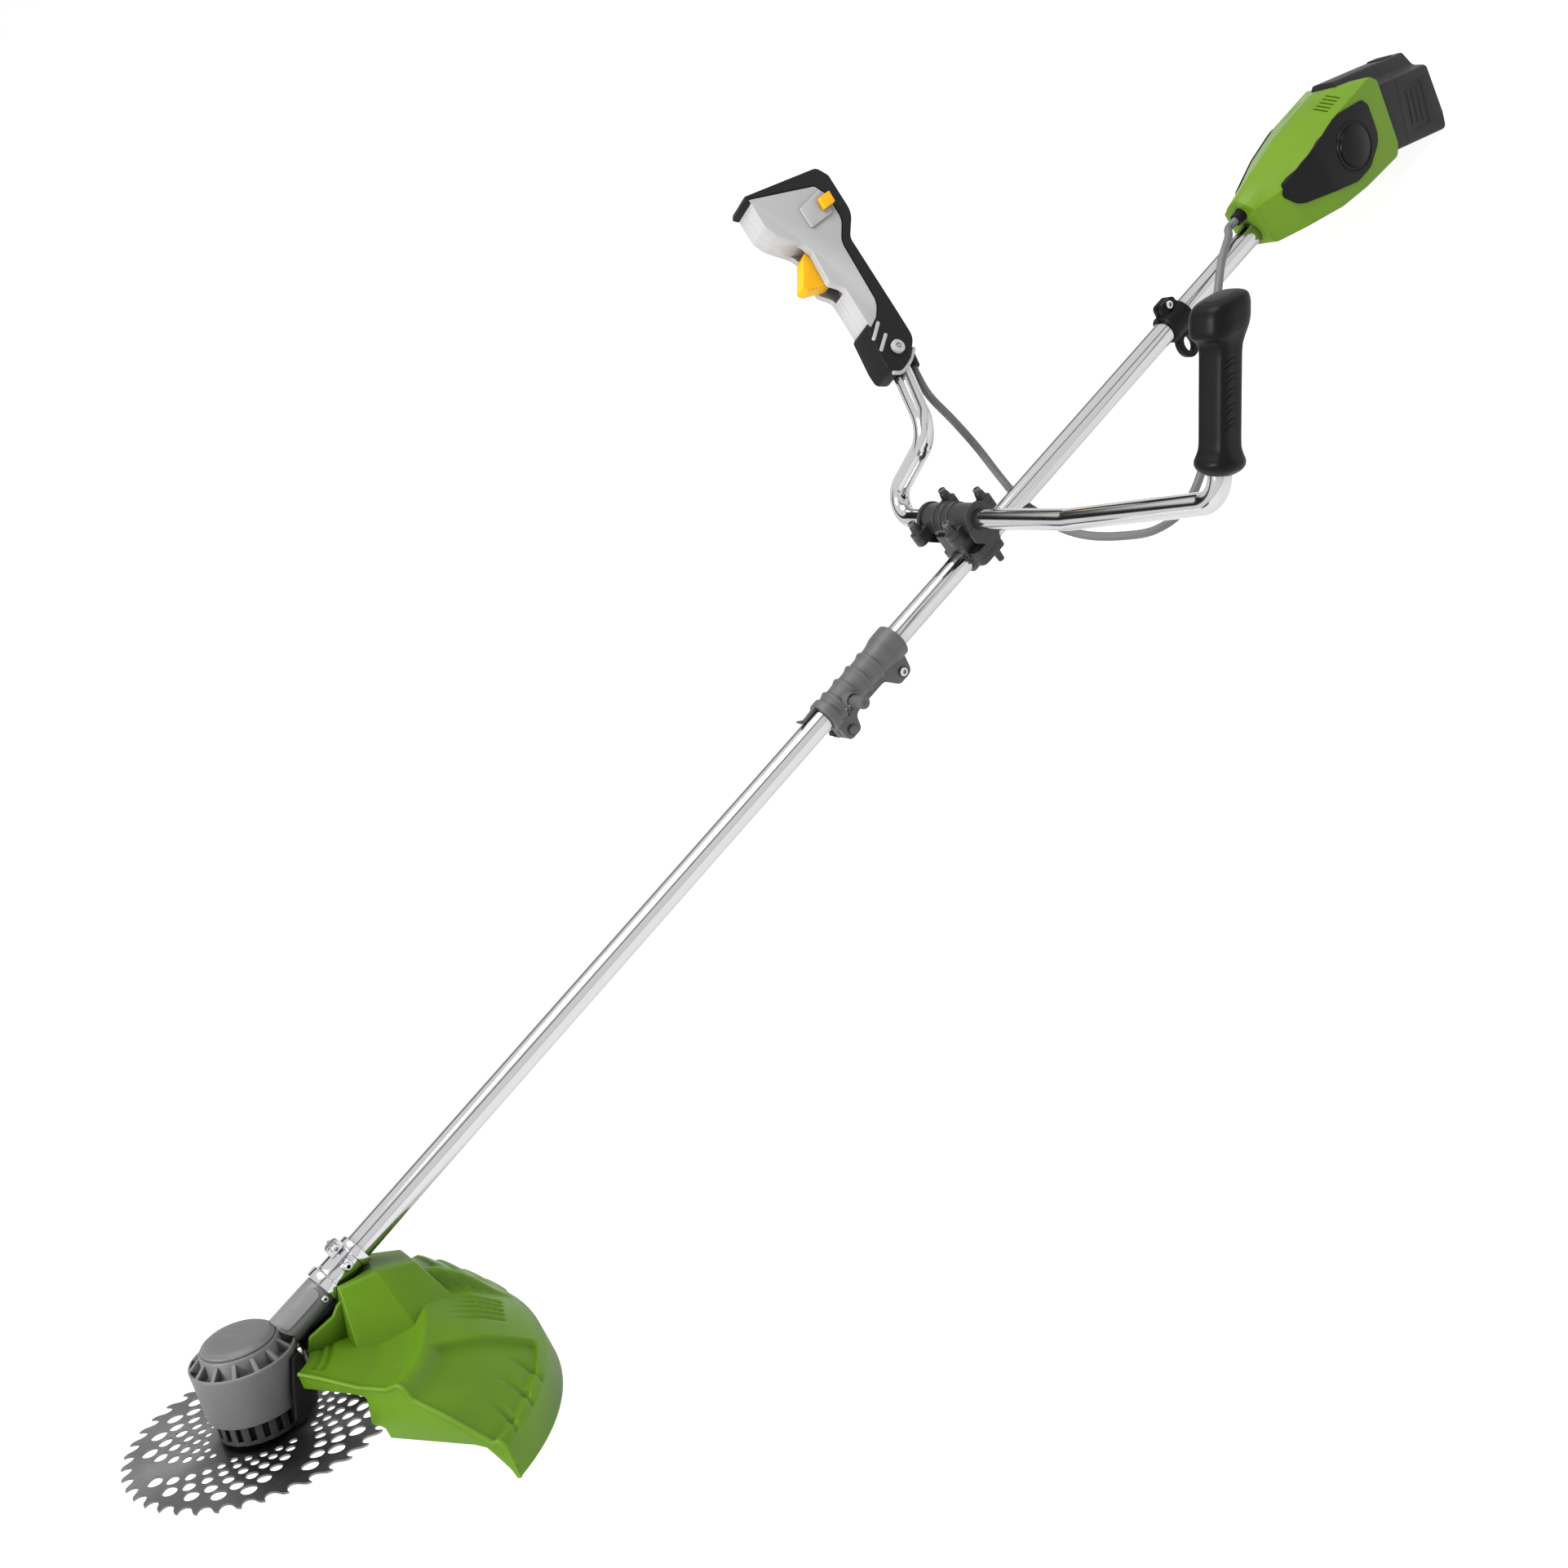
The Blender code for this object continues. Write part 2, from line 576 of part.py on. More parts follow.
def shaft_clamp(front, shaft, looks):
    low = NECK_END + GAP
    top = low + SLEEVE_LENGTH
    sleeve = add("shaft_clamp", turned([
        (TUBE_R + GAP, low), (COLLAR_R, low), (COLLAR_R, low + COLLAR_LENGTH), (SLEEVE_R, low + COLLAR_LENGTH),
        (SLEEVE_R, top), (TUBE_R + GAP, top)], 24), shaft, looks["chrome"])
    ear_y = low + SLEEVE_LENGTH * 0.7
    boolean(sleeve, box((-7 * MM, ear_y - 9 * MM, SLEEVE_R - 2 * MM), (7 * MM, ear_y + 9 * MM, SLEEVE_R + 9 * MM)),
            "UNION", parent=front)
    boolean(sleeve, box((-0.8 * MM, low + COLLAR_LENGTH + 4 * MM, 10 * MM), (0.8 * MM, top + 1 * MM, 30 * MM)),
            parent=front)
    bolt_z = SLEEVE_R + 4.5 * MM
    boolean(sleeve, placed(rod(2.5 * MM + GAP, -10 * MM, 10 * MM, 12), (0, ear_y, bolt_z), (0, math.pi / 2, 0)),
            parent=front)
    add("clamp_bolt", turned([(0, -9 * MM), (2.5 * MM, -9 * MM), (2.5 * MM, 7 * MM + GAP), (4.5 * MM, 7 * MM + GAP),
                              (4.5 * MM, 11 * MM), (0, 11 * MM)], 12), front, looks["steel"],
        location=(0, ear_y, bolt_z), rotation=(0, math.pi / 2, 0))
    tube_end = COUPLER_FRONT + INSERTION
    tube = add("lower_tube", rod(TUBE_R, NECK_SEAT + GAP, tube_end, 24, TUBE_R - TUBE_WALL), shaft, looks["tube"])
    boolean(tube, box((5 * MM, plunger_station() - 4.5 * MM, -4.5 * MM), (20 * MM, tube_end + 5 * MM, 4.5 * MM)),
            parent=front)
    cable_end = tube_end - 18 * MM
    plug_r = TUBE_R - TUBE_WALL - GAP
    plug = add("lower_cable", turned([
        (0, 30 * MM), (CORE_CABLE_R, 30 * MM), (CORE_CABLE_R, cable_end), (plug_r, cable_end),
        (plug_r, tube_end - GAP), (0, tube_end - GAP)], 16), shaft, looks["black"])
    boolean(plug, box((8.5 * MM, plunger_station(), -5 * MM), (20 * MM, tube_end + 2 * MM, 5 * MM)), parent=front)
    for step in range(3):
        turn = 2 * math.pi * step / 3
        pin = rod(1.2 * MM, tube_end - 5 * MM, tube_end + 9 * MM, 8)
        placed(pin, (5 * MM * math.cos(turn), 5 * MM * math.sin(turn), 0))
        boolean(plug, pin, "UNION")


# Blade and what turns with it

def blade_outline():
    points = []
    pitch = 2 * math.pi / TEETH
    root = BLADE_R - TOOTH_DEPTH
    for tooth in range(TEETH):
        start = tooth * pitch
        for share, radius in ((0.0, BLADE_R), (0.36, BLADE_R - 2.2 * MM), (0.66, root)):
            angle = start - share * pitch
            points.append((radius * math.cos(angle), radius * math.sin(angle)))
    return points


def blade_holes():
    """Rings of holes in swept arcs, smaller towards the middle."""
    loops = []
    for group in range(HOLE_GROUPS):
        for arc in range(ARCS_PER_GROUP):
            for step, (inward, size) in enumerate(zip(HOLE_INSETS, HOLE_SIZES)):
                radius = BLADE_R - inward
                angle = FIRST_HOLE + group * math.pi / 2 + arc * ARC_PITCH + step * HOLE_ADVANCE
                centre = Vector((radius * math.cos(angle), radius * math.sin(angle)))
                lean = angle + math.radians(60)
                loop = []
                for corner in range(HOLE_SIDES):
                    turn = 2 * math.pi * corner / HOLE_SIDES
                    along = size * math.cos(turn)
                    across = size * 0.72 * math.sin(turn)
                    loop.append((centre.x + along * math.cos(lean) - across * math.sin(lean),
                                 centre.y + along * math.sin(lean) + across * math.cos(lean)))
                loops.append(loop)
    return loops


def blade(cutting, looks):
    bm = bmesh.new()
    bore = [(BLADE_BORE * math.cos(a), BLADE_BORE * math.sin(a)) for a in
            [2 * math.pi * step / 20 for step in range(20)]]
    low = BLADE_PLANE - BLADE_THICKNESS / 2
    for loop in [blade_outline(), bore] + blade_holes():
        verts = [bm.verts.new((x, y, low)) for x, y in loop]
        for a, b in zip(verts, verts[1:] + verts[:1]):
            bm.edges.new((a, b))
    bmesh.ops.triangle_fill(bm, use_beauty=True, edges=bm.edges[:], normal=(0, 0, 1))
    faces = bmesh.ops.extrude_face_region(bm, geom=bm.faces[:], use_keep_orig=True)["geom"]
    verts = [item for item in faces if isinstance(item, bmesh.types.BMVert)]
    bmesh.ops.translate(bm, verts=verts, vec=(0, 0, BLADE_THICKNESS))
    add("blade", bm, cutting, looks["blade"])


def cutting_set(cutting, looks):
    blade(cutting, looks)
    blade_top = BLADE_PLANE + BLADE_THICKNESS / 2
    blade_low = BLADE_PLANE - BLADE_THICKNESS / 2
    bore = SPINDLE_R + GAP
    flange_low = blade_top + GAP
    pilot = BLADE_BORE - GAP
    add("inner_flange", turned([(bore, blade_low + 0.4 * MM), (pilot, blade_low + 0.4 * MM), (pilot, flange_low),
                                (INNER_FLANGE_R, flange_low), (INNER_FLANGE_R, flange_low + FLANGE_THICKNESS),
                                (bore, flange_low + FLANGE_THICKNESS)], 24), cutting, looks["steel"])
    cup_top = blade_low - GAP
    cup_low = cup_top - OUTER_FLANGE_HEIGHT
    add("outer_flange", turned([(bore, cup_low), (OUTER_FLANGE_R - 5 * MM, cup_low),
                                (OUTER_FLANGE_R, cup_low + 2.2 * MM), (OUTER_FLANGE_R, cup_top), (bore, cup_top)],
                               24), cutting, looks["steel"])
    nut_top = cup_low - GAP
    nut = add("blade_nut", rod(NUT_R, nut_top - NUT_HEIGHT, nut_top, 6), cutting, looks["steel"])
    boolean(nut, rod(bore, nut_top - NUT_HEIGHT - 1 * MM, nut_top + 1 * MM, 20))
    spindle_top = CAP_SEAT - 12 * MM
    add("spindle", rod(SPINDLE_R, nut_top - NUT_HEIGHT - 2 * MM, spindle_top, 20), cutting, looks["steel"])
    add("rotor", rod(STATOR_BORE - ROTOR_AIR_GAP, STATOR_BOTTOM + 1 * MM, STATOR_TOP - 1 * MM, 28, bore), cutting,
        looks["magnet"])


# Guard

def deck_rise(angle):
    """How far the deck climbs towards the shaft, from 0 at its ends to 1 below the shaft."""
    middle = math.radians(90)
    span = (GUARD_TO - GUARD_FROM) * 0.5
    return max(0.0, math.cos(min(1.0, abs(angle - middle) / span) * math.pi / 2)) ** 1.5


def guard_section(angle, grow):
    """Half of the shell's section at an angle: (radius, height) from the inner edge to the rim."""
    rise = GUARD_RISE * deck_rise(angle)
    knee = GUARD_R - KNEE_INSET
    shoulder = GUARD_R - SHOULDER_INSET
    edge = GUARD_R - EDGE_INSET
    return [(GUARD_INNER_R, GUARD_DECK + rise * 0.4 - grow), (knee, GUARD_DECK + rise - grow),
            (shoulder - grow * 0.3, (GUARD_DECK + GUARD_EDGE) / 2 + rise - grow),
            (edge - grow * 0.6, GUARD_EDGE + rise * 0.5 - grow * 0.8),
            (GUARD_R - LIP_INSET - grow, GUARD_EDGE - 10 * MM + rise * 0.2), (GUARD_R - grow, GUARD_RIM)]


def guard(front, head, shaft, looks):
    steps = 15
    rings = []
    for step in range(steps + 1):
        angle = GUARD_FROM + (GUARD_TO - GUARD_FROM) * step / steps
        outline = guard_section(angle, 0) + guard_section(angle, GUARD_WALL)[::-1]
        rings.append([(r * math.cos(angle), r * math.sin(angle), z) for r, z in outline])
    deck = add("guard", loft(rings), head, looks["green"])

    wall_low = [(GUARD_R - 4 * MM, GUARD_RIM - 2 * MM), (GUARD_R - 16 * MM, GUARD_RIM + 13 * MM),
                (GUARD_R - 31 * MM, GUARD_RIM + 27 * MM), (BLADE_R + 9 * MM, GUARD_RIM + 29 * MM),
                (BLADE_R + 5 * MM, -46 * MM), (BLADE_R - 4 * MM, -44 * MM),
                (BLADE_R - 1 * MM, -14 * MM), (GUARD_INNER_R, -13 * MM)]
    for angle, near, far in ((GUARD_FROM, 0.2 * MM, GUARD_WALL), (GUARD_TO, -GUARD_WALL, -0.2 * MM)):
        wall = prism(guard_section(angle, GUARD_WALL * 0.4) + wall_low, near, far, "xzy")
        boolean(deck, placed(wall, rotation=(0, 0, angle)), "UNION")

    def mount_block(grow, lift):
        """A bridge over the sleeve: wide foot on the deck, narrow top under the shaft."""
        top = MOUNT_TOP_HALF + grow
        foot = MOUNT_FOOT_HALF + grow
        low_z = -14 * MM - lift
        corner_y = MOUNT_CORNER + grow
        tail_y = MOUNT_TAIL + grow
        low = [(-foot, 86 * MM - grow, low_z), (foot, 86 * MM - grow, low_z), (foot, corner_y, low_z),
               (24 * MM + grow, tail_y, low_z), (-24 * MM - grow, tail_y, low_z), (-foot, corner_y, low_z)]
        crest_y = MOUNT_CREST + grow
        end_y = MOUNT_END + grow
        high = [(-top, 92 * MM - grow, 50 * MM + grow), (top, 92 * MM - grow, 50 * MM + grow),
                (top, crest_y, 45 * MM + grow), (18 * MM + grow, end_y, 31 * MM + grow),
                (-18 * MM - grow, end_y, 31 * MM + grow), (-top, crest_y, 45 * MM + grow)]
        return loft([low, high])

    boolean(deck, mount_block(0, 0), "UNION")
    boolean(deck, mount_block(-GUARD_WALL, 20 * MM))
    boolean(deck, rod(COLLAR_R + 0.6 * MM, 20 * MM, NECK_END + SLEEVE_LENGTH + 60 * MM, 32), parent=shaft)
    boolean(deck, box((-12.6 * MM, 20 * MM, -60 * MM), (12.6 * MM, NECK_END + 9.6 * MM, -10 * MM)), parent=front)
    bolt_y = NECK_END - 4 * MM
    bolt_z = -COLLAR_R - 4.2 * MM
    add("guard_bolt", turned([(0, bolt_z - 9 * MM), (5 * MM, bolt_z - 9 * MM), (5 * MM, bolt_z - GAP),
                              (0, bolt_z - GAP)], 12), front, looks["black"], location=(0, bolt_y, 0))


# Coupler of the two tubes

def plunger_station():
    return COUPLER_FRONT + 28 * MM


def coupler(tool, shaft, looks):
    front = COUPLER_FRONT
    rear = front + COUPLER_LENGTH
    bore = TUBE_R + GAP
    valley = COUPLER_R - 0.8 * MM
    ridge = COUPLER_R + 1.2 * MM
    outline = [(bore - 0.5 * MM, front), (ridge, front), (ridge + 0.5 * MM, front + 5 * MM),
               (valley, front + 10 * MM)]
    pitch = (COUPLER_LENGTH - 40 * MM) / COUPLER_RINGS
    for step in range(COUPLER_RINGS):
        middle = front + (step + 1) * pitch
        outline += [(valley, middle - 3 * MM), (ridge, middle - 1 * MM), (ridge, middle + 1 * MM),
                    (valley, middle + 3 * MM)]
    outline += [(valley + 0.5 * MM, rear - 28 * MM), (ridge + 1.2 * MM, rear - 14 * MM),
                (ridge + 1.2 * MM, rear - 2 * MM), (ridge, rear), (bore - 0.5 * MM, rear)]
    body = add("coupler_body", turned(outline, 24), shaft, looks["coupler"])
    low_lug = front + 14 * MM
    high_lug = rear - LUG_INSET
    lug_z = -28 * MM
    for station in (low_lug, high_lug):
        lug = prism([(station - 9 * MM, -10 * MM), (station - 9 * MM, lug_z), (station - 5 * MM, lug_z - 8 * MM),
                     (station + 5 * MM, lug_z - 8 * MM), (station + 9 * MM, lug_z), (station + 14 * MM, -10 * MM)],
                    -9 * MM, 9 * MM, "yzx")
        boolean(body, lug, "UNION", parent=tool)
    boolean(body, box((-4 * MM, low_lug, -23 * MM), (4 * MM, high_lug, -12 * MM)), "UNION", parent=tool)
    station = plunger_station()
    sideways = (0, math.pi / 2, 0)
    seat_x = TUBE_R - 2.2 * MM
    spring_seat = TUBE_R + 5 * MM
    boss_end = TUBE_R + 11 * MM
    boolean(body, placed(rod(9.5 * MM, TUBE_R - 2 * MM, boss_end, 20), (0, station, 0), sideways), "UNION",
            parent=tool)
    boolean(body, box((-4.5 * MM, front - 27 * MM, TUBE_R + 1.2 * MM), (4.5 * MM, front + 3 * MM, TUBE_R + 4 * MM)),
            "UNION", parent=tool)
    boolean(body, rod(bore, front - 5 * MM, rear + 5 * MM, 24))
    boolean(body, box((-0.8 * MM, front - 1 * MM, -40 * MM), (0.8 * MM, high_lug - 26 * MM, -10 * MM)), parent=tool)
    well = turned([(0, 5 * MM), (3.8 * MM, 5 * MM), (3.8 * MM, spring_seat), (6.2 * MM, spring_seat),
                   (6.2 * MM, boss_end + 6 * MM), (0, boss_end + 6 * MM)], 14)
    boolean(body, placed(well, (0, station, 0), sideways), parent=tool)
    for bolt_station in (low_lug, high_lug):
        boolean(body, placed(rod(2.6 * MM + GAP, -12 * MM, 12 * MM, 12), (0, bolt_station, lug_z), sideways),
                parent=tool)
    add("coupler_screw", turned([(0, -9 * MM), (2.6 * MM, -9 * MM), (2.6 * MM, 9 * MM + GAP), (4.6 * MM, 9 * MM + GAP),
                                 (4.6 * MM, 12 * MM), (0, 12 * MM)], 12), tool, looks["steel"],
        location=(0, high_lug, lug_z), rotation=sideways)
    knob = frame("knob_axis", tool, (0, low_lug, lug_z), sideways)
    lobes = 18
    add("clamp_knob", turned([
        (0, -26 * MM), (9 * MM, -26 * MM), (11 * MM, -24 * MM), (11 * MM, -13 * MM), (7 * MM, -9 * MM - GAP),
        (2.6 * MM, -9 * MM - GAP), (2.6 * MM, 9 * MM + GAP), (4.4 * MM, 9 * MM + GAP), (4.4 * MM, 12.5 * MM),
        (0, 12.5 * MM)], lobes,
        lambda step, r: r * 0.86 if r > 8 * MM and step % 3 == 0 else r), knob, looks["black"])
    plunger = frame("plunger_axis", tool, (0, station, 0), sideways)
    head_low = boss_end + 0.6 * MM
    head_top = head_low + 19.9 * MM
    add("lock_plunger", turned([(0, seat_x), (3.3 * MM, seat_x), (3.3 * MM, head_low), (6.8 * MM, head_low),
                                (6.8 * MM, head_top - 2 * MM), (5 * MM, head_top), (0, head_top)], 20), plunger,
        looks["coupler"])
    seat = frame("plunger_seat", tool, (0, station, 0), sideways)
    add("plunger_spring", helix(4.75 * MM, 0.5 * MM, spring_seat + 0.8 * MM, head_low - 0.8 * MM, 3), seat, looks["steel"])
    tube_start = front + INSERTION + 2 * MM
    add("upper_tube", rod(TUBE_R, tube_start, HOUSING_FRONT + TUBE_IN_HOUSING, 24, TUBE_R - TUBE_WALL), shaft,
        looks["tube"])
    socket_low = front + INSERTION + 3 * MM
    socket_r = TUBE_R - TUBE_WALL - GAP
    cable_start = socket_low + 18 * MM
    cable_end = HOUSING_FRONT + TUBE_IN_HOUSING - 4 * MM
    socket = add("upper_cable", turned([
        (0, socket_low), (socket_r, socket_low), (socket_r, cable_start), (CORE_CABLE_R, cable_start),
        (CORE_CABLE_R, cable_end), (0, cable_end)], 16), shaft, looks["black"])
    pins = []
    for step in range(3):
        turn = 2 * math.pi * step / 3
        pin = rod(1.6 * MM, socket_low - 2 * MM, socket_low + 9 * MM, 8)
        pins.append(placed(pin, (5 * MM * math.cos(turn), 5 * MM * math.sin(turn), 0)))
    boolean(socket, merged(*pins))


def helix(radius, wire, low, high, turns):
    """A small coil spring along z."""
    points = []
    for step in range(turns * 6 + 1):
        angle = 2 * math.pi * step / 6
        height = low + (high - low) * step / (turns * 6)
        points.append(Vector((radius * math.cos(angle), radius * math.sin(angle), height)))
    rings = [ring_round(*place, wire, 4) for place in path_frames(points)]
    return loft(rings)


# Handlebar and its clamp

def bar_clamp(tool, looks):
    bar_bore = placed(rod(BAR_R + GAP, -60 * MM, 60 * MM, 16), (0, BAR_STATION, BAR_HEIGHT), (0, math.pi / 2, 0))
    reach = CLAMP_BOLT_Y + 7 * MM
    base = add("clamp_base", placed(rod(CLAMP_BARREL_R, -CLAMP_HALF, CLAMP_HALF, 16), (0, BAR_STATION, BAR_HEIGHT),
                                    (0, math.pi / 2, 0)), tool, looks["clamp"])
    boolean(base, box((-60 * MM, BAR_STATION - 50 * MM, BAR_HEIGHT - GAP / 2),
                      (60 * MM, BAR_STATION + 50 * MM, BAR_HEIGHT + 40 * MM)))
    boolean(base, box((-17 * MM, BAR_STATION - 19 * MM, 3 * MM), (17 * MM, BAR_STATION + 24 * MM, 34 * MM)), "UNION")
    boolean(base, box((-29 * MM, BAR_STATION - 16 * MM, GAP), (29 * MM, BAR_STATION + 20 * MM, 9 * MM)), "UNION")
    for side in (-1, 1):
        plate = prism([(BAR_STATION - 19 * MM, BAR_HEIGHT - GAP / 2), (BAR_STATION - 19 * MM, BAR_HEIGHT - 16 * MM),
                       (BAR_STATION - 6 * MM, BAR_HEIGHT - 29 * MM), (BAR_STATION + 8 * MM, BAR_HEIGHT - 29 * MM),
                       (BAR_STATION + 19 * MM, BAR_HEIGHT - 16 * MM), (BAR_STATION + 19 * MM, BAR_HEIGHT - GAP / 2)],
                      side * (CLAMP_HALF - 4 * MM), side * (CLAMP_HALF - 0.5 * MM), "yzx")
        boolean(base, plate, "UNION")
        x = side * CLAMP_BOLT_X
        boolean(base, box((x - 6 * MM, BAR_STATION - reach, BAR_HEIGHT - 9 * MM),
                          (x + 6 * MM, BAR_STATION + reach, BAR_HEIGHT - GAP / 2)), "UNION")
    boolean(base, bar_bore)
    boolean(base, placed(rod(TUBE_R + GAP, BAR_STATION - 60 * MM, BAR_STATION + 60 * MM, 24), (0, 0, 0),
                         (-math.pi / 2, 0, 0)))

    cap = add("clamp_cap", placed(rod(CLAMP_BARREL_R, -CLAMP_HALF, CLAMP_HALF, 16), (0, BAR_STATION, BAR_HEIGHT),
                                  (0, math.pi / 2, 0)), tool, looks["clamp"])
    boolean(cap, box((-60 * MM, BAR_STATION - 50 * MM, BAR_HEIGHT - 40 * MM),
                     (60 * MM, BAR_STATION + 50 * MM, BAR_HEIGHT + GAP / 2)))
    holes = {"base": [], "cap": []}
    for x in (-CLAMP_BOLT_X, CLAMP_BOLT_X):
        boolean(cap, box((x - 6 * MM, BAR_STATION - reach, BAR_HEIGHT + GAP / 2),
                         (x + 6 * MM, BAR_STATION + reach, BAR_HEIGHT + 6 * MM)), "UNION")
        for y in (-CLAMP_BOLT_Y, CLAMP_BOLT_Y):
            boss = turned([(0, BAR_HEIGHT + 5 * MM), (6.4 * MM, BAR_HEIGHT + 5 * MM), (4.6 * MM, BAR_HEIGHT + 14 * MM),
                           (0, BAR_HEIGHT + 14 * MM)], 10)
            boolean(cap, placed(boss, (x, BAR_STATION + y, 0)), "UNION")
            for cuts in holes.values():
                hole = rod(2.5 * MM + GAP, BAR_HEIGHT - 12 * MM, BAR_HEIGHT + 20 * MM, 8)
                cuts.append(placed(hole, (x, BAR_STATION + y, 0)))
    boolean(cap, placed(rod(BAR_R + GAP, -60 * MM, 60 * MM, 16), (0, BAR_STATION, BAR_HEIGHT), (0, math.pi / 2, 0)))
    boolean(base, merged(*holes["base"]))
    boolean(cap, merged(*holes["cap"]))
    count = 1
    for x in (-CLAMP_BOLT_X, CLAMP_BOLT_X):
        for y in (-CLAMP_BOLT_Y, CLAMP_BOLT_Y):
            bolt = turned([(0, -10 * MM), (2.5 * MM, -10 * MM), (2.5 * MM, 14 * MM + GAP), (4.2 * MM, 14 * MM + GAP),
                           (4.2 * MM, 18.5 * MM), (0, 18.5 * MM)], 8)
            add("cap_bolt_%d" % count, bolt, tool, looks["coupler"], location=(x, BAR_STATION + y, BAR_HEIGHT))
            count += 1

    saddle = add("shaft_saddle", placed(rod(COUPLER_R, BAR_STATION - 17 * MM, BAR_STATION + 21 * MM, 20), (0, 0, 0),
                                        (-math.pi / 2, 0, 0)), tool, looks["clamp"])
    boolean(saddle, box((-29 * MM, BAR_STATION - 16 * MM, -9 * MM), (29 * MM, BAR_STATION + 20 * MM, 0)), "UNION")
    boolean(saddle, box((-60 * MM, BAR_STATION - 60 * MM, 0), (60 * MM, BAR_STATION + 60 * MM, 40 * MM)))
    boolean(saddle, placed(rod(TUBE_R + GAP, BAR_STATION - 60 * MM, BAR_STATION + 60 * MM, 24), (0, 0, 0),
                           (-math.pi / 2, 0, 0)))
    for side, number in ((-1, 1), (1, 2)):
        spot = (side * SADDLE_BOLT_X, BAR_STATION + 8 * MM, 0)
        for plate in (base, saddle):
            boolean(plate, placed(rod(3 * MM + GAP, -30 * MM, 14 * MM, 10), spot))
        add("saddle_bolt_%d" % number, turned([(0, -22 * MM), (3.6 * MM, -22 * MM), (5 * MM, -9 * MM - GAP),
                                              (3 * MM, -9 * MM - GAP), (3 * MM, 12 * MM), (0, 12 * MM)], 10), tool,
            looks["clamp"], location=spot)


def handlebar(bar, looks):
    lean = Vector((-math.sin(HANDLE_LEAN), math.cos(HANDLE_LEAN), 0))
    base = Vector(HANDLE_BASE)
    grip = Vector(GRIP_BASE)
    grip_along = Vector((math.sin(GRIP_LEAN), math.cos(GRIP_LEAN), 0))
    corners = [base + lean * BAR_IN_HANDLE, base - lean * 92 * MM, (-126 * MM, 0, 0), (185 * MM, 0, 0),
               grip - grip_along * 24 * MM, grip + grip_along * BAR_IN_GRIP]
    add("handlebar", piped(rounded_path(corners, BAR_BENDS, 4), BAR_R, BAR_R - BAR_WALL, 12), bar, looks["tube"])


def left_grip(grip, looks):
    rings = []
    for y, half_x, half_z, shift in GRIP_SECTIONS:
        ring = []
        for step in range(16):
            angle = 2 * math.pi * step / 16
            ring.append((half_x * MM * math.cos(angle), y * MM, shift * MM + half_z * MM * math.sin(angle)))
        rings.append(ring)
    body = add("left_grip", loft(rings), grip, looks["rubber"])
    boolean(body, placed(rod(BAR_R + GAP, -10 * MM, BAR_IN_GRIP + 1 * MM, 20), (0, 0, 0), (-math.pi / 2, 0, 0)))


# Control handle

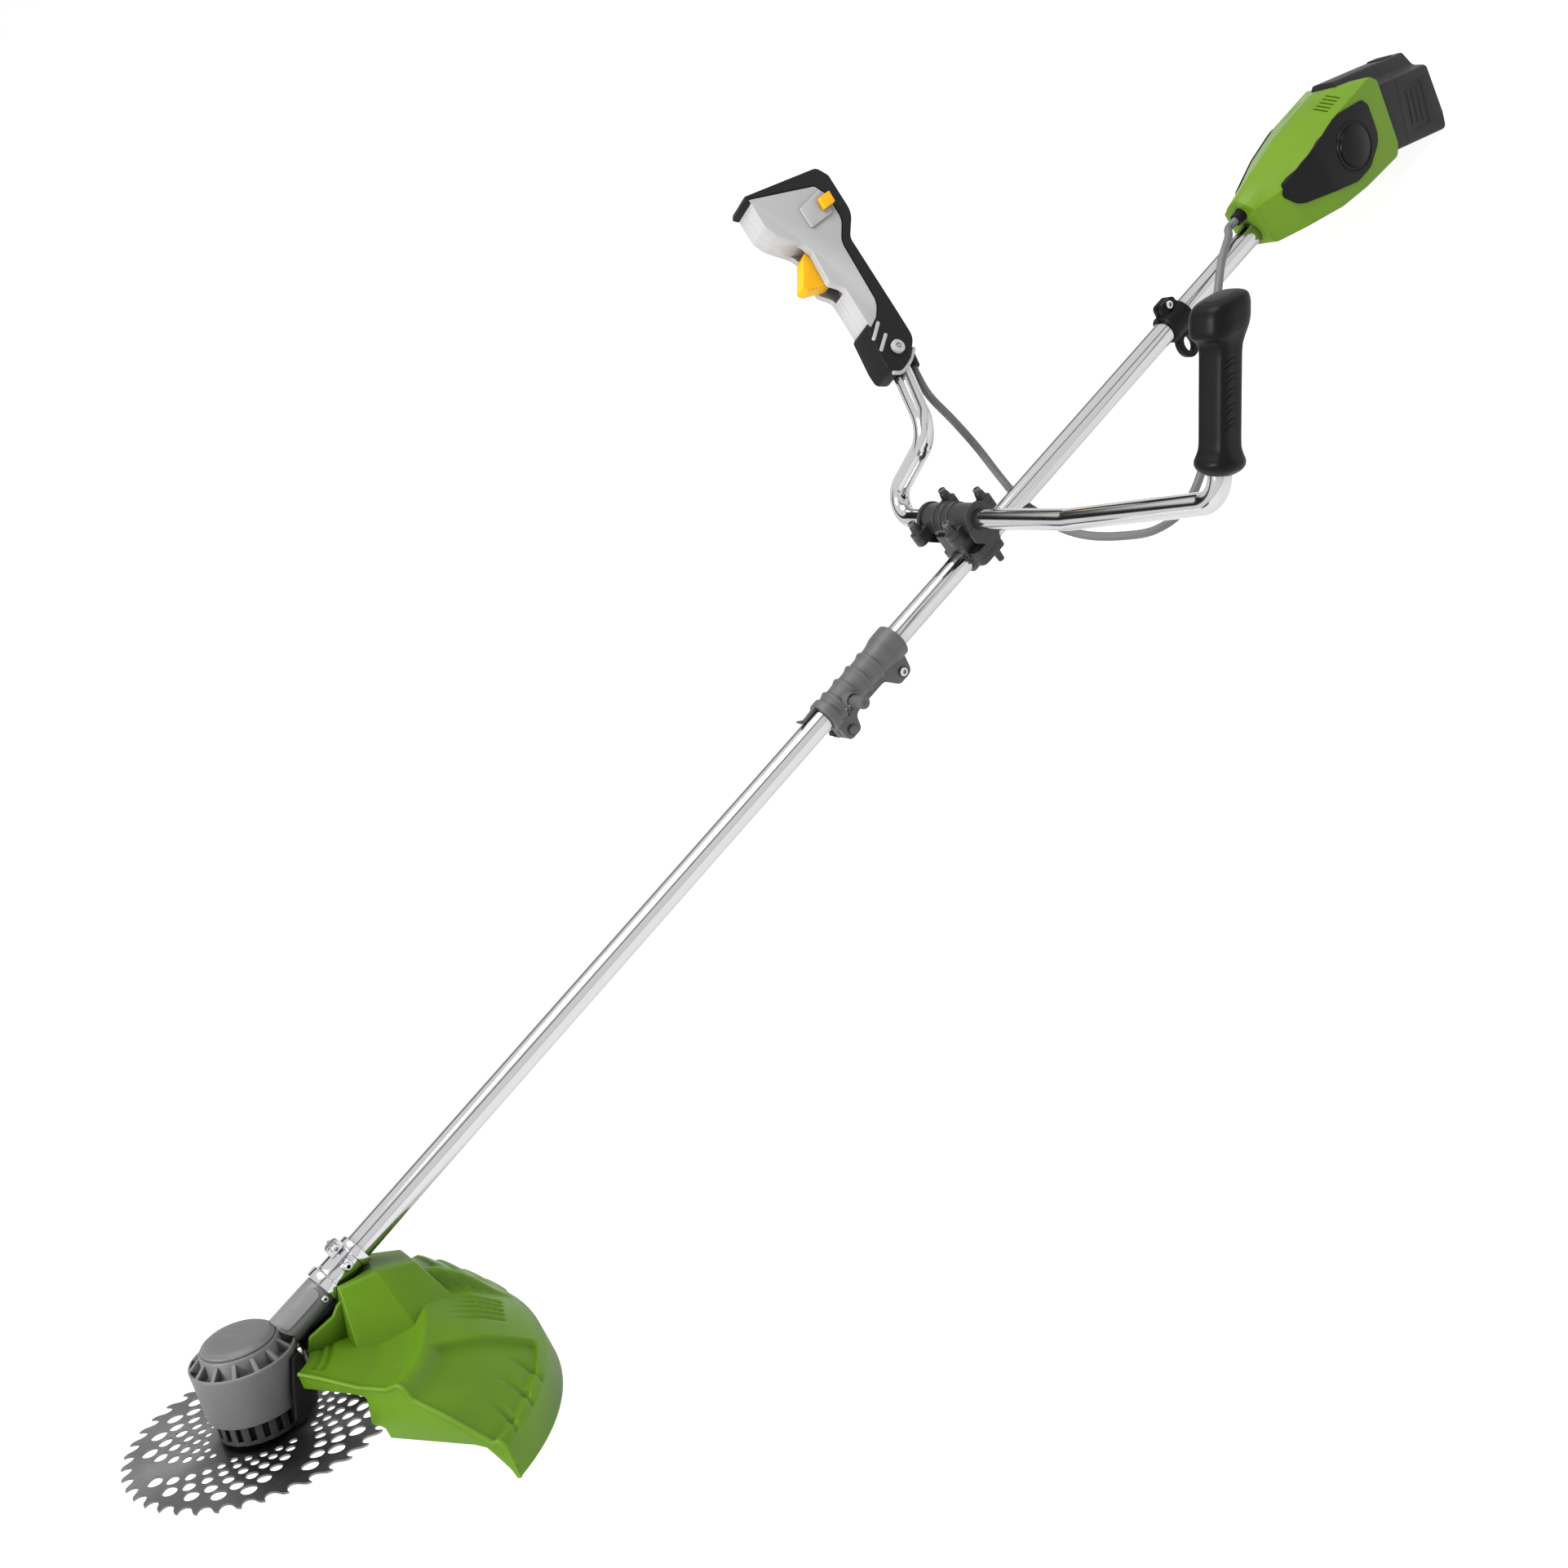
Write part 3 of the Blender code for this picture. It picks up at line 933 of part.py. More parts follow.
def control_handle(control, gland, looks):
    outline = in_metres(SPINE_OUTLINE)
    body = in_metres(BODY_OUTLINE)
    half = HANDLE_HALF
    cavity = inset(body, HANDLE_WALL)
    channel = dict(location=(0, 0, 0), rotation=(-math.pi / 2, 0, 0))
    bar_hole = (BAR_R + GAP, -60 * MM, BAR_IN_HANDLE + 1 * MM, 20)
    spine = add("handle_spine", prism(outline, -half - 0.6 * MM, half + 0.6 * MM, "yzx"), control, looks["black"])
    bevel(spine, 3 * MM, 2)
    boss = rod(7.4 * MM, 5 * MM, 36 * MM, 14)
    boolean(spine, placed(boss, gland.location, (-math.pi / 2, 0, 0)), "UNION", control)
    boolean(spine, rod(6.5 * MM, half - 1 * MM, half + 5.5 * MM, 16), "UNION", control, (0, 2 * MM, 6 * MM),
            (0, math.pi / 2, 0))
    boolean(spine, prism(inset(body, -GAP), -half - 5 * MM, half + 5 * MM, "yzx"))
    boolean(spine, rod(*bar_hole), **channel)
    shells = []
    for name, low, high in (("handle_shell_left", GAP / 2, half), ("handle_shell_right", -half, -GAP / 2)):
        shell = add(name, prism(body, low, high, "yzx"), control, looks["grey"])
        outer = high if high > half / 2 else low
        edges = [edge for edge in shell.data.edges
                 if all(abs(shell.data.vertices[v].co.x - outer) < 1e-6 for v in edge.vertices)]
        weights = shell.data.attributes.new("bevel_weight_edge", "FLOAT", "EDGE")
        for edge in edges:
            weights.data[edge.index].value = 1.0
        round_off = bevel(shell, 5 * MM, 2)
        round_off.limit_method = "WEIGHT"
        boolean(shell, prism(cavity, -half + HANDLE_WALL, half - HANDLE_WALL, "yzx"))
        boolean(shell, rod(*bar_hole), **channel)
        slot_half = TRIGGER_HALF + SLIDE_GAP
        boolean(shell, box((-slot_half, 80 * MM, 28 * MM), (slot_half, 142 * MM, 110 * MM)))
        shells.append(shell)

    pivot = TRIGGER_PIVOT
    trigger_axis = frame("trigger_axis", control, pivot)
    shape = prism(in_metres(TRIGGER_OUTLINE), -TRIGGER_HALF, TRIGGER_HALF, "yzx")
    placed(shape, (0, -pivot[1], -pivot[2]))
    trigger = add("trigger", shape, trigger_axis, looks["yellow"])
    bevel(trigger, 2 * MM, 1)
    boolean(trigger, placed(rod(2 * MM + GAP, -12 * MM, 12 * MM, 10), rotation=(0, math.pi / 2, 0)))
    pin = rod(2 * MM, -half + 1 * MM, half - HANDLE_WALL - GAP, 10)
    boolean(shells[1], pin, "UNION", control, pivot, (0, math.pi / 2, 0))
    boolean(shells[0], rod(2 * MM + GAP, -1 * MM, half - 1 * MM, 10), "DIFFERENCE", control, pivot,
            (0, math.pi / 2, 0))
    switch_half = half - HANDLE_WALL - GAP
    switch_top = 27.5 * MM
    add("micro_switch", box((-switch_half, 90 * MM, 18 * MM), (switch_half, 112 * MM, switch_top)), control,
        looks["black"])
    wire = 0.5 * MM
    coil = helix(3 * MM, wire, TRIGGER_HALF + GAP + wire, half - HANDLE_WALL - GAP - wire, 3)
    add("trigger_spring", placed(coil, pivot, (0, math.pi / 2, 0)), control, looks["steel"])

    pad_low, pad_high = half - 1 * MM, half + 2.2 * MM
    pad = prism([(156 * MM, 30 * MM), (162 * MM, 12 * MM), (203 * MM, 24 * MM), (198 * MM, 46 * MM),
                 (160 * MM, 40 * MM)], pad_low, pad_high, "yzx")
    boolean(shells[0], pad, "UNION")
    slide = frame("switch_axis", control, (0, SWITCH_AT[0], SWITCH_AT[1]), (SWITCH_TURN, 0, 0))
    knob = add("power_switch", box((pad_high + GAP, -8 * MM, -8 * MM), (pad_high + 5.5 * MM, 8 * MM, 8 * MM)), slide,
               looks["yellow"])
    bevel(knob, 1.2 * MM)
    add("handle_gland", rod(7.4 * MM, -8 * MM, 5 * MM - GAP, 16, CONDUIT_R + CONDUIT_SLACK), gland, looks["black"])


# Harness hanger

def hanger(tool, shaft, looks):
    low = HANGER_STATION - 16 * MM
    high = HANGER_STATION + 16 * MM
    band = add("harness_hanger", rod(TUBE_R + 4.5 * MM, low, high, 24, TUBE_R + GAP), shaft, looks["rubber"])
    ear = prism([(low + 4 * MM, 14 * MM), (low + 8 * MM, 27 * MM), (high - 8 * MM, 27 * MM), (high - 4 * MM, 14 * MM)],
                -7 * MM, 7 * MM, "yzx")
    boolean(band, ear, "UNION", parent=tool)
    boolean(band, box((-0.8 * MM, low - 1 * MM, 10 * MM), (0.8 * MM, high + 1 * MM, 30 * MM)), parent=tool)
    eye = []
    for step in range(16):
        angle = 2 * math.pi * step / 16
        eye.append((HANGER_STATION + 14 * MM * math.cos(angle), EYE_DROP + 17 * MM * math.sin(angle)))
    boolean(band, prism(eye, -3.5 * MM, 3.5 * MM, "yzx"), "UNION", parent=tool)
    hole = [(HANGER_STATION + 6.5 * MM * math.cos(2 * math.pi * step / 16),
             EYE_DROP - 1 * MM + 9.5 * MM * math.sin(2 * math.pi * step / 16)) for step in range(16)]
    boolean(band, prism(hole, -10 * MM, 10 * MM, "yzx"), parent=tool)
    boolean(band, rod(TUBE_R + GAP, low - 5 * MM, high + 5 * MM, 24), parent=shaft)
    screw_at = (0, HANGER_STATION, 22.5 * MM)
    boolean(band, placed(rod(2.5 * MM + GAP, -12 * MM, 12 * MM, 10), screw_at, (0, math.pi / 2, 0)), parent=tool)
    add("hanger_screw", turned([(0, -7 * MM), (2.5 * MM, -7 * MM), (2.5 * MM, 7 * MM + GAP), (4.5 * MM, 7 * MM + GAP),
                                (4.5 * MM, 10 * MM), (0, 10 * MM)], 12), tool, looks["steel"],
        location=screw_at, rotation=(0, math.pi / 2, 0))


# Rear housing, battery and electronics

def housing_solid(grow):
    """Side view and top view of the housing, as two outlines grown by a distance."""
    side = inset(in_metres(HOUSING_OUTLINE), -grow)
    right = [(x, y) for x, y in in_metres(HOUSING_PLAN)]
    plan = right + [(-x, y) for x, y in reversed(right)]
    return side, inset(plan, -grow)


def battery_section(grow):
    """Cross-section of the pack: width, height."""
    half = BATTERY_HALF + grow
    ridge = RIDGE_HALF + grow
    bottom = PACK_TOP - BATTERY_HEIGHT - grow
    top = PACK_TOP + grow
    return [(-half, bottom + 6 * MM), (-half + 6 * MM, bottom), (half - 6 * MM, bottom), (half, bottom + 6 * MM),
            (half, top - 4 * MM), (half - 5 * MM, top), (ridge + 9 * MM, top + 3 * MM), (ridge, top + RIDGE_HEIGHT),
            (-ridge, top + RIDGE_HEIGHT), (-ridge - 9 * MM, top + 3 * MM), (-half + 5 * MM, top), (-half, top - 4 * MM)]


def rear_housing(tool, shaft, seat, looks):
    side, plan = housing_solid(0)
    side_in, plan_in = housing_solid(-HOUSING_WALL)
    wide = 90 * MM
    for name, other_low, other_high in (("housing_left", -wide, GAP / 2), ("housing_right", -GAP / 2, wide)):
        half = add(name, prism(side, -wide, wide, "yzx"), tool, looks["green_light"])
        boolean(half, prism(plan, -0.12, 0.12), "INTERSECT")
        cavity = boolean(half, prism(side_in, -wide, wide, "yzx"))
        boolean(cavity, prism(plan_in, -0.12, 0.12), "INTERSECT")
        boolean(half, box((other_low, 1500 * MM, -0.1), (other_high, 1900 * MM, 0.1)))
        boolean(half, rod(TUBE_R + GAP, 1580 * MM, 1660 * MM, 24), parent=shaft)
        boolean(half, placed(rod(GLAND_R + GAP, -20 * MM, 20 * MM, 16), (0, HOUSING_FRONT, GLAND_UP),
                             (-math.pi / 2, 0, 0)))
        boolean(half, prism(battery_section(SLIDE_GAP), -BATTERY_LENGTH - DOCK_SLACK, 80 * MM, "xzy"), parent=seat)
    for name, side_sign in (("side_panel_left", 1), ("side_panel_right", -1)):
        low, high = sorted((side_sign * 20 * MM, side_sign * 70 * MM))
        panel = add(name, prism(in_metres(PANEL_OUTLINE), low, high, "yzx"), tool, looks["gloss"])
        boolean(panel, prism(housing_solid(PANEL_THICKNESS + GAP)[1], -0.12, 0.12), "INTERSECT")
        boolean(panel, prism(housing_solid(GAP)[1], -0.12, 0.12))
        face = HOUSING_HALF + PANEL_THICKNESS + GAP
        start, end = sorted((side_sign * (face - 0.8 * MM), side_sign * (face + 2 * MM)))
        boolean(panel, rod(BADGE_R, start, end, 32), "UNION", tool, (0, *BADGE_CENTRE), (0, math.pi / 2, 0))
    add("housing_gland", turned([(CONDUIT_R + CONDUIT_SLACK, -11 * MM), (GLAND_R - 0.6 * MM, -11 * MM),
                                 (GLAND_R, 8 * MM), (CONDUIT_BORE, 8 * MM), (CONDUIT_BORE, 0),
                                 (CONDUIT_R + CONDUIT_SLACK, 0)], 16), tool,
        looks["black"], location=(0, HOUSING_FRONT, GLAND_UP), rotation=(-math.pi / 2, 0, 0))
    electronics(tool, seat, looks)


def electronics(tool, seat, looks):
    side_in, plan_in = housing_solid(-HOUSING_WALL - GAP)
    board = add("controller_board", box((-60 * MM, 1652 * MM, 26 * MM), (60 * MM, 1728 * MM, 27.6 * MM)), tool,
                looks["board"])
    boolean(board, prism(plan_in, -0.12, 0.12), "INTERSECT")
    boolean(board, box((-23 * MM, 1660 * MM, 27 * MM), (23 * MM, 1720 * MM, 31 * MM)), "UNION")
    for step in range(6):
        x = -20 * MM + step * 8 * MM
        boolean(board, box((x - 1 * MM, 1660 * MM, 30.5 * MM), (x + 1 * MM, 1720 * MM, 42 * MM)), "UNION")
    front_v = -BATTERY_LENGTH - DOCK_SLACK
    dock = add("battery_dock", box((-60 * MM, front_v - 3 * MM, -70 * MM), (60 * MM, front_v, 70 * MM)), seat,
               looks["black"])
    boolean(dock, prism(side_in, -0.09, 0.09, "yzx"), "INTERSECT", tool)
    boolean(dock, prism(plan_in, -0.12, 0.12), "INTERSECT", tool)
    boolean(dock, box((-9 * MM, front_v - 1 * MM, -10 * MM), (9 * MM, front_v + 11 * MM, 2 * MM)), "UNION", seat)


def battery(pack, looks):
    section = battery_section(0)
    shell = add("battery_pack", prism(section, -BATTERY_LENGTH, PACK_REAR, "xzy"), pack, looks["battery"])
    boolean(shell, box((-60 * MM, -8 * MM, -60 * MM), (60 * MM, 40 * MM, 70 * MM)), location=(0, 10 * MM, 0),
            rotation=(math.radians(10.6), 0, 0))
    inner_half = BATTERY_HALF - 3.6 * MM
    inner_low = PACK_TOP - BATTERY_HEIGHT + 5 * MM
    inner_high = PACK_TOP - 5 * MM
    inner = prism([(-inner_half, inner_low), (inner_half, inner_low), (inner_half, inner_high),
                   (-inner_half, inner_high)], -BATTERY_LENGTH + 6 * MM, -8 * MM, "xzy")
    boolean(shell, inner)
    boolean(shell, box((-12 * MM, -BATTERY_LENGTH - 5 * MM, -14 * MM), (12 * MM, -BATTERY_LENGTH + 12 * MM, 6 * MM)))
    holder = inner_half - GAP
    cells = add("battery_cells", box((-holder, -BATTERY_LENGTH + 14 * MM, -9 * MM), (holder, -16 * MM, -7 * MM)), pack,
                looks["cell"])
    for level in (-26.5 * MM, 10.5 * MM):
        for step in range(5):
            y = -BATTERY_LENGTH + 17 * MM + step * 20.5 * MM
            cell = placed(rod(CELL_R * 1.02, -CELL_LENGTH / 2, CELL_LENGTH / 2, 8), (0, y, level), (0, math.pi / 2, 0))
            boolean(cells, cell, "UNION")
            post = box((-3 * MM, y - 2 * MM, min(level, -8 * MM)), (3 * MM, y + 2 * MM, max(level, -8 * MM)))
            boolean(cells, post, "UNION")
    latch = add("battery_latch", box((-11 * MM, -38 * MM, PACK_TOP + RIDGE_HEIGHT + GAP),
                                     (11 * MM, -20 * MM, PACK_TOP + RIDGE_HEIGHT + 4 * MM)), pack, looks["black"])
    bevel(latch, 1 * MM)


# Control cable

def control_cable(tool, gland, looks):
    """A ribbed hose from the gland in the handle to the gland in the housing."""
    bpy.context.view_layer.update()
    into_tool = tool.matrix_world.inverted() @ gland.matrix_world
    start = [into_tool @ Vector((0, 0, along)) for along in (3 * MM, -8 * MM, -18 * MM)]
    end = [Vector((0, HOUSING_FRONT + along, GLAND_UP)) for along in (-25 * MM, -11 * MM, -GAP)]
    points = smooth_route(start + in_metres(CABLE_ROUTE) + end, 15 * MM)
    add("control_cable", piped(points, CONDUIT_R, CONDUIT_BORE, 8), tool, looks["conduit"])


# Assembly

def lowest(obj, graph):
    shape = obj.evaluated_get(graph)
    return min((obj.matrix_world @ v.co for v in shape.data.vertices), key=lambda point: point.z)


def lay_down(tool):
    """Lean the tool until the guard and the battery touch one floor, then centre it over the origin."""
    guard_piece = bpy.data.objects["guard"]
    pack = bpy.data.objects["battery_pack"]
    for _ in range(6):
        bpy.context.view_layer.update()
        graph = bpy.context.evaluated_depsgraph_get()
        front = lowest(guard_piece, graph)
        rear = lowest(pack, graph)
        tool.rotation_euler.x -= math.atan2(rear.z - front.z, rear.y - front.y)
    bpy.context.view_layer.update()
    graph = bpy.context.evaluated_depsgraph_get()
    low = Vector((math.inf,) * 3)
    high = Vector((-math.inf,) * 3)
    for obj in bpy.data.objects:
        if obj.type != "MESH" or obj.hide_render:
            continue
        for vert in obj.evaluated_get(graph).data.vertices:
            point = obj.matrix_world @ vert.co
            low = Vector(map(min, low, point))
            high = Vector(map(max, high, point))
    tool.location = (-(low.x + high.x) / 2, -(low.y + high.y) / 2, -low.z)
    bpy.context.view_layer.update()


def make_looks():
    return {
        "drum": material("drum", (0.20, 0.20, 0.21), 0.45, 0.3),
        "skirt": material("skirt", (0.16, 0.16, 0.17), 0.45, 0.3),
        "neck": material("neck", (0.30, 0.30, 0.31), 0.4, 0.3),
        "steel": material("steel", (0.55, 0.56, 0.58), 0.3, 1.0),
        "chrome": material("chrome", (0.8, 0.8, 0.82), 0.12, 1.0),
        "tube": material("tube", (0.82, 0.83, 0.85), 0.16, 1.0),
        "aluminium": material("aluminium", (0.6, 0.6, 0.62), 0.4, 1.0),
        "copper": material("copper", (0.55, 0.25, 0.1), 0.4, 1.0),
        "magnet": material("magnet", (0.08, 0.08, 0.09), 0.35, 0.8),
        "blade": material("blade", (0.12, 0.12, 0.13), 0.35, 0.8),
        "green": material("green", (0.14, 0.31, 0.02), 0.4),
        "green_light": material("green_light", (0.2, 0.4, 0.025), 0.35),
        "black": material("black", (0.02, 0.02, 0.02), 0.5),
        "rubber": material("rubber", (0.012, 0.012, 0.012), 0.6),
        "gloss": material("gloss", (0.01, 0.01, 0.01), 0.12),
        "coupler": material("coupler", (0.16, 0.16, 0.16), 0.55),
        "clamp": material("clamp", (0.09, 0.09, 0.09), 0.5),
        "grey": material("grey", (0.5, 0.5, 0.51), 0.45),
        "yellow": material("yellow", (0.9, 0.45, 0.01), 0.4),
        "battery": material("battery", (0.03, 0.03, 0.032), 0.5),
        "cell": material("cell", (0.05, 0.15, 0.4), 0.4),
        "board": material("board", (0.02, 0.2, 0.06), 0.5),
        "conduit": material("conduit", (0.22, 0.22, 0.23), 0.6),
    }


def build():
    clear_scene()
    looks = make_looks()
    quarter = (-math.pi / 2, 0, 0)
    tool = frame("tool")
    shaft = frame("shaft", tool, rotation=quarter)
    front = frame("front", tool)
    front_shaft = frame("front_shaft", front, rotation=quarter)
    head = frame("head", front, rotation=(-BLADE_ANGLE, 0, 0))
    cutting = frame("cutting", head)
    bar = frame("bar", tool, (0, BAR_STATION, BAR_HEIGHT), (BAR_LEAN, 0, 0))
    control = frame("control", bar, HANDLE_BASE, (0, 0, HANDLE_LEAN))
    grip = frame("grip", bar, GRIP_BASE, (0, 0, -GRIP_LEAN))
    seat = frame("battery_seat", tool, BATTERY_SEAT, (-BATTERY_SLOPE, 0, 0))
    pack = frame("pack", seat)

    motor_head(head, front, front_shaft, looks)
    shaft_clamp(front, front_shaft, looks)
    cutting_set(cutting, looks)
    guard(front, head, front_shaft, looks)
    coupler(tool, shaft, looks)
    bar_clamp(tool, looks)
    handlebar(bar, looks)
    left_grip(grip, looks)
    gland = frame("gland_axis", control, (-6 * MM, 0, -22.5 * MM), quarter)
    control_handle(control, gland, looks)
    hanger(tool, shaft, looks)
    rear_housing(tool, shaft, seat, looks)
    battery(pack, looks)
    control_cable(tool, gland, looks)
    lay_down(tool)


build()
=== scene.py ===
"""Looks of the cordless brush cutter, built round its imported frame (+Z up).

Pieces are made in the frames of the sub-assembly that carries them: TOOL has x to
the user's left, y along the shaft to the rear and z up, with its origin where the
shaft axis meets the spin axis; HEAD is that frame leaned so that z is the spin axis;
SHAFT has z along the shaft; BAR holds the handlebar; CONTROL and GRIP are the two
handles; GLAND is the cable's end in the handle; SEAT is the battery's slide.
Outlines and sizes are millimetres; the stage, the frames and the camera are metres.
"""
import json
import math

import bmesh
import bpy
from mathutils import Matrix, Vector


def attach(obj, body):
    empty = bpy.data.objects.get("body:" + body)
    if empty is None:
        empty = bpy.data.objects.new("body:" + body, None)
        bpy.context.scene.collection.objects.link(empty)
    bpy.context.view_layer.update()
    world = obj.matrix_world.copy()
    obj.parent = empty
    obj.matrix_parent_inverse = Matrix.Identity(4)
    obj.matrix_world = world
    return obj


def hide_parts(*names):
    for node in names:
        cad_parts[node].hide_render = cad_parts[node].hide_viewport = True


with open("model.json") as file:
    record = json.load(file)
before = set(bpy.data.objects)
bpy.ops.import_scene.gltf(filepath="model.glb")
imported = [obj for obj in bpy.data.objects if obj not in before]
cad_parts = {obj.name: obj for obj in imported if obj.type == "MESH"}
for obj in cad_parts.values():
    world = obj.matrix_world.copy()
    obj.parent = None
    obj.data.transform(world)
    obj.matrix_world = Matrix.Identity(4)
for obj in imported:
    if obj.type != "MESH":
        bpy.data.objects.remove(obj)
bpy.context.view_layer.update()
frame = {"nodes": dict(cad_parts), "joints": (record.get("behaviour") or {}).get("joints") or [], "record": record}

MM = 0.001
QUARTER = math.pi / 2
ORIGIN = (0, 0, 0)
WHITE = (1, 1, 1, 1)

# Camera in the tool's frame, as the photograph was taken
PHOTO_SIDE = 1922
FOCAL_PIXELS = 2500
SENSOR = 36
CAMERA_PLACE = (1.7206, 0.1253, 0.9108)
CAMERA_LOOK = (-0.83918, 0.30299, -0.45163)
CAMERA_UP = (-0.11209, 0.71624, 0.68880)

# Stations, sizes and clearance that several pieces share with the frame
TUBE_R = 13
BAR_R = 11
FREE = 0.2
BAR_Y = 1077
BAR_Z = 42
BAR_LEAN = math.radians(55)
HANDLE_BASE = (-73.8, 167.6, 0)
HANDLE_LEAN = math.radians(30.3)
GRIP_BASE = (395, 40, 0)
GRIP_LEAN = math.radians(5.5)
GLAND_PLACE = (-6, 0, -22.5)
BATTERY_SEAT = (0, 1895.5, -35.5)
BATTERY_SLOPE = math.radians(20)


# Frames

def joint(name, entry):
    return Vector(next(item for item in frame["joints"] if item["name"] == name)[entry])


def framed(x_axis, y_axis, z_axis, origin=ORIGIN):
    matrix = Matrix((x_axis, y_axis, z_axis)).transposed().to_4x4()
    matrix.translation = origin
    return matrix


def tool_frame():
    side = Vector((1, 0, 0))
    along = -joint("lower_shaft_slide", "axis").normalized()
    return framed(side, along, side.cross(along), joint("blade_spin", "pos_m"))


def at(where, place=ORIGIN, turn=0.0, axis="X"):
    """A frame moved by millimetres inside another, and then turned about its own axis."""
    return where @ Matrix.Translation([value * MM for value in place]) @ Matrix.Rotation(turn, 4, axis)


TOOL = tool_frame()
SPIN = TOOL.to_3x3().inverted() @ joint("blade_spin", "axis")
BLADE_ANGLE = math.atan2(SPIN.y, SPIN.z)
HEAD = at(TOOL, turn=-BLADE_ANGLE)
SHAFT = at(TOOL, turn=-QUARTER)
BAR = at(TOOL, (0, BAR_Y, BAR_Z), BAR_LEAN)
CONTROL = at(BAR, HANDLE_BASE, HANDLE_LEAN, "Z")
GRIP = at(BAR, GRIP_BASE, -GRIP_LEAN, "Z")
GLAND = at(CONTROL, GLAND_PLACE, -QUARTER)
SEAT = at(TOOL, BATTERY_SEAT, -BATTERY_SLOPE)


# Numbers and outlines

def ease(value, low, high):
    share = min(1.0, max(0.0, (value - low) / (high - low)))
    return share * share * (3 - 2 * share)


def between(value, table):
    """Read a value from a short list of (at, amount) points, straight from one to the next."""
    for (low, first), (high, second) in zip(table, table[1:]):
        if value <= high:
            return first + (second - first) * min(1.0, max(0.0, (value - low) / (high - low)))
    return table[-1][1]


def spread(low, high, count):
    return [low + (high - low) * step / count for step in range(count + 1)]


def turns(count):
    return [2 * math.pi * step / count for step in range(count)]


def polar(r, angle):
    return r * math.cos(angle), r * math.sin(angle)


def rectangle(left, low, right, high):
    return [(left, low), (right, low), (right, high), (left, high)]


def oval(y, z, half_y, half_z, count):
    return [(y + half_y * math.cos(angle), z + half_z * math.sin(angle)) for angle in turns(count)]


def inset(outline, distance):
    """The outline moved inwards by a distance (negative moves it outwards)."""
    sides = list(zip(outline, outline[1:] + outline[:1]))
    inwards = 1 if sum(a[0] * b[1] - b[0] * a[1] for a, b in sides) > 0 else -1
    lines = []
    for a, b in sides:
        along = (Vector(b) - Vector(a)).normalized()
        lines.append((Vector(a) + Vector((-along.y, along.x)) * inwards * distance, along))
    result = []
    for index, (point2, along2) in enumerate(lines):
        point, along = lines[index - 1]
        cross = along.x * along2.y - along.y * along2.x
        offset = point2 - point
        reach = (offset.x * along2.y - offset.y * along2.x) / cross if abs(cross) > 1e-6 else 0
        result.append(tuple(point + along * reach))
    return result


def rounded_outline(corners, radius, steps=4):
    """A closed outline with every corner replaced by an arc; one radius for all, or a list."""
    result = []
    for index, corner in enumerate(corners):
        own = radius[index] if hasattr(radius, "__len__") else radius
        corner = Vector(corner)
        before = Vector(corners[index - 1]) - corner
        after = Vector(corners[(index + 1) % len(corners)]) - corner
        reach = min(own / math.tan(before.angle(after) / 2), 0.46 * before.length, 0.46 * after.length)
        start = corner + before.normalized() * reach
        end = corner + after.normalized() * reach
        for share in spread(0, 1, steps):
            result.append(tuple(start.lerp(corner, share).lerp(corner.lerp(end, share), share)))
    return result


def rounded_path(corners, radii, steps):
    """Corner points with each inner corner replaced by an arc of its own radius."""
    corners = [Vector(corner) for corner in corners]
    points = [corners[0]]
    for before, corner, after, radius in zip(corners, corners[1:], corners[2:], radii):
        to_before = (before - corner).normalized()
        to_after = (after - corner).normalized()
        half = to_before.angle(to_after) / 2
        shorter = min((before - corner).length, (after - corner).length)
        reach = min(radius / math.tan(half), 0.45 * shorter)
        out = (to_before + to_after).normalized() * (reach * math.tan(half) / math.sin(half))
        start = to_before * reach - out
        end = to_after * reach - out
        for turn in spread(0, start.angle(end), steps):
            points.append(corner + out + Matrix.Rotation(turn, 3, start.cross(end)) @ start)
    return points + [corners[-1]]


def path_frames(points):
    """Each point of a path with two directions across it that don't twist along the way."""
    ends = zip([points[0]] + points, points[1:] + [points[-1]])
    tangents = [(ahead - behind).normalized() for behind, ahead in ends]
    side = tangents[0].orthogonal().normalized()
    frames = []
    for point, tangent in zip(points, tangents):
        side = (side - tangent * side.dot(tangent)).normalized()
        frames.append((point, side, tangent.cross(side)))
    return frames


def smooth_route(points, spacing, fineness=24):
    """Evenly spaced points of a smooth curve through a given route."""
    route = [Vector(point) for point in points]
    padded = [2 * route[0] - route[1]] + route + [2 * route[-1] - route[-2]]
    fine = []
    for a, b, c, d in zip(padded, padded[1:], padded[2:], padded[3:]):
        for t in spread(0, 1, fineness)[:-1]:
            fine.append(0.5 * (2 * b + (c - a) * t + (2 * a - 5 * b + 4 * c - d) * t * t
                               + (3 * b - a - 3 * c + d) * t ** 3))
    fine.append(route[-1])
    lengths = [0.0]
    for a, b in zip(fine, fine[1:]):
        lengths.append(lengths[-1] + (b - a).length)
    result = []
    index = 0
    for wanted in spread(0, lengths[-1], max(2, round(lengths[-1] / spacing))):
        while index < len(fine) - 2 and lengths[index + 1] < wanted:
            index += 1
        share = (wanted - lengths[index]) / (lengths[index + 1] - lengths[index])
        result.append(fine[index].lerp(fine[index + 1], share))
    return result


# Shapes, made as millimetre bmeshes

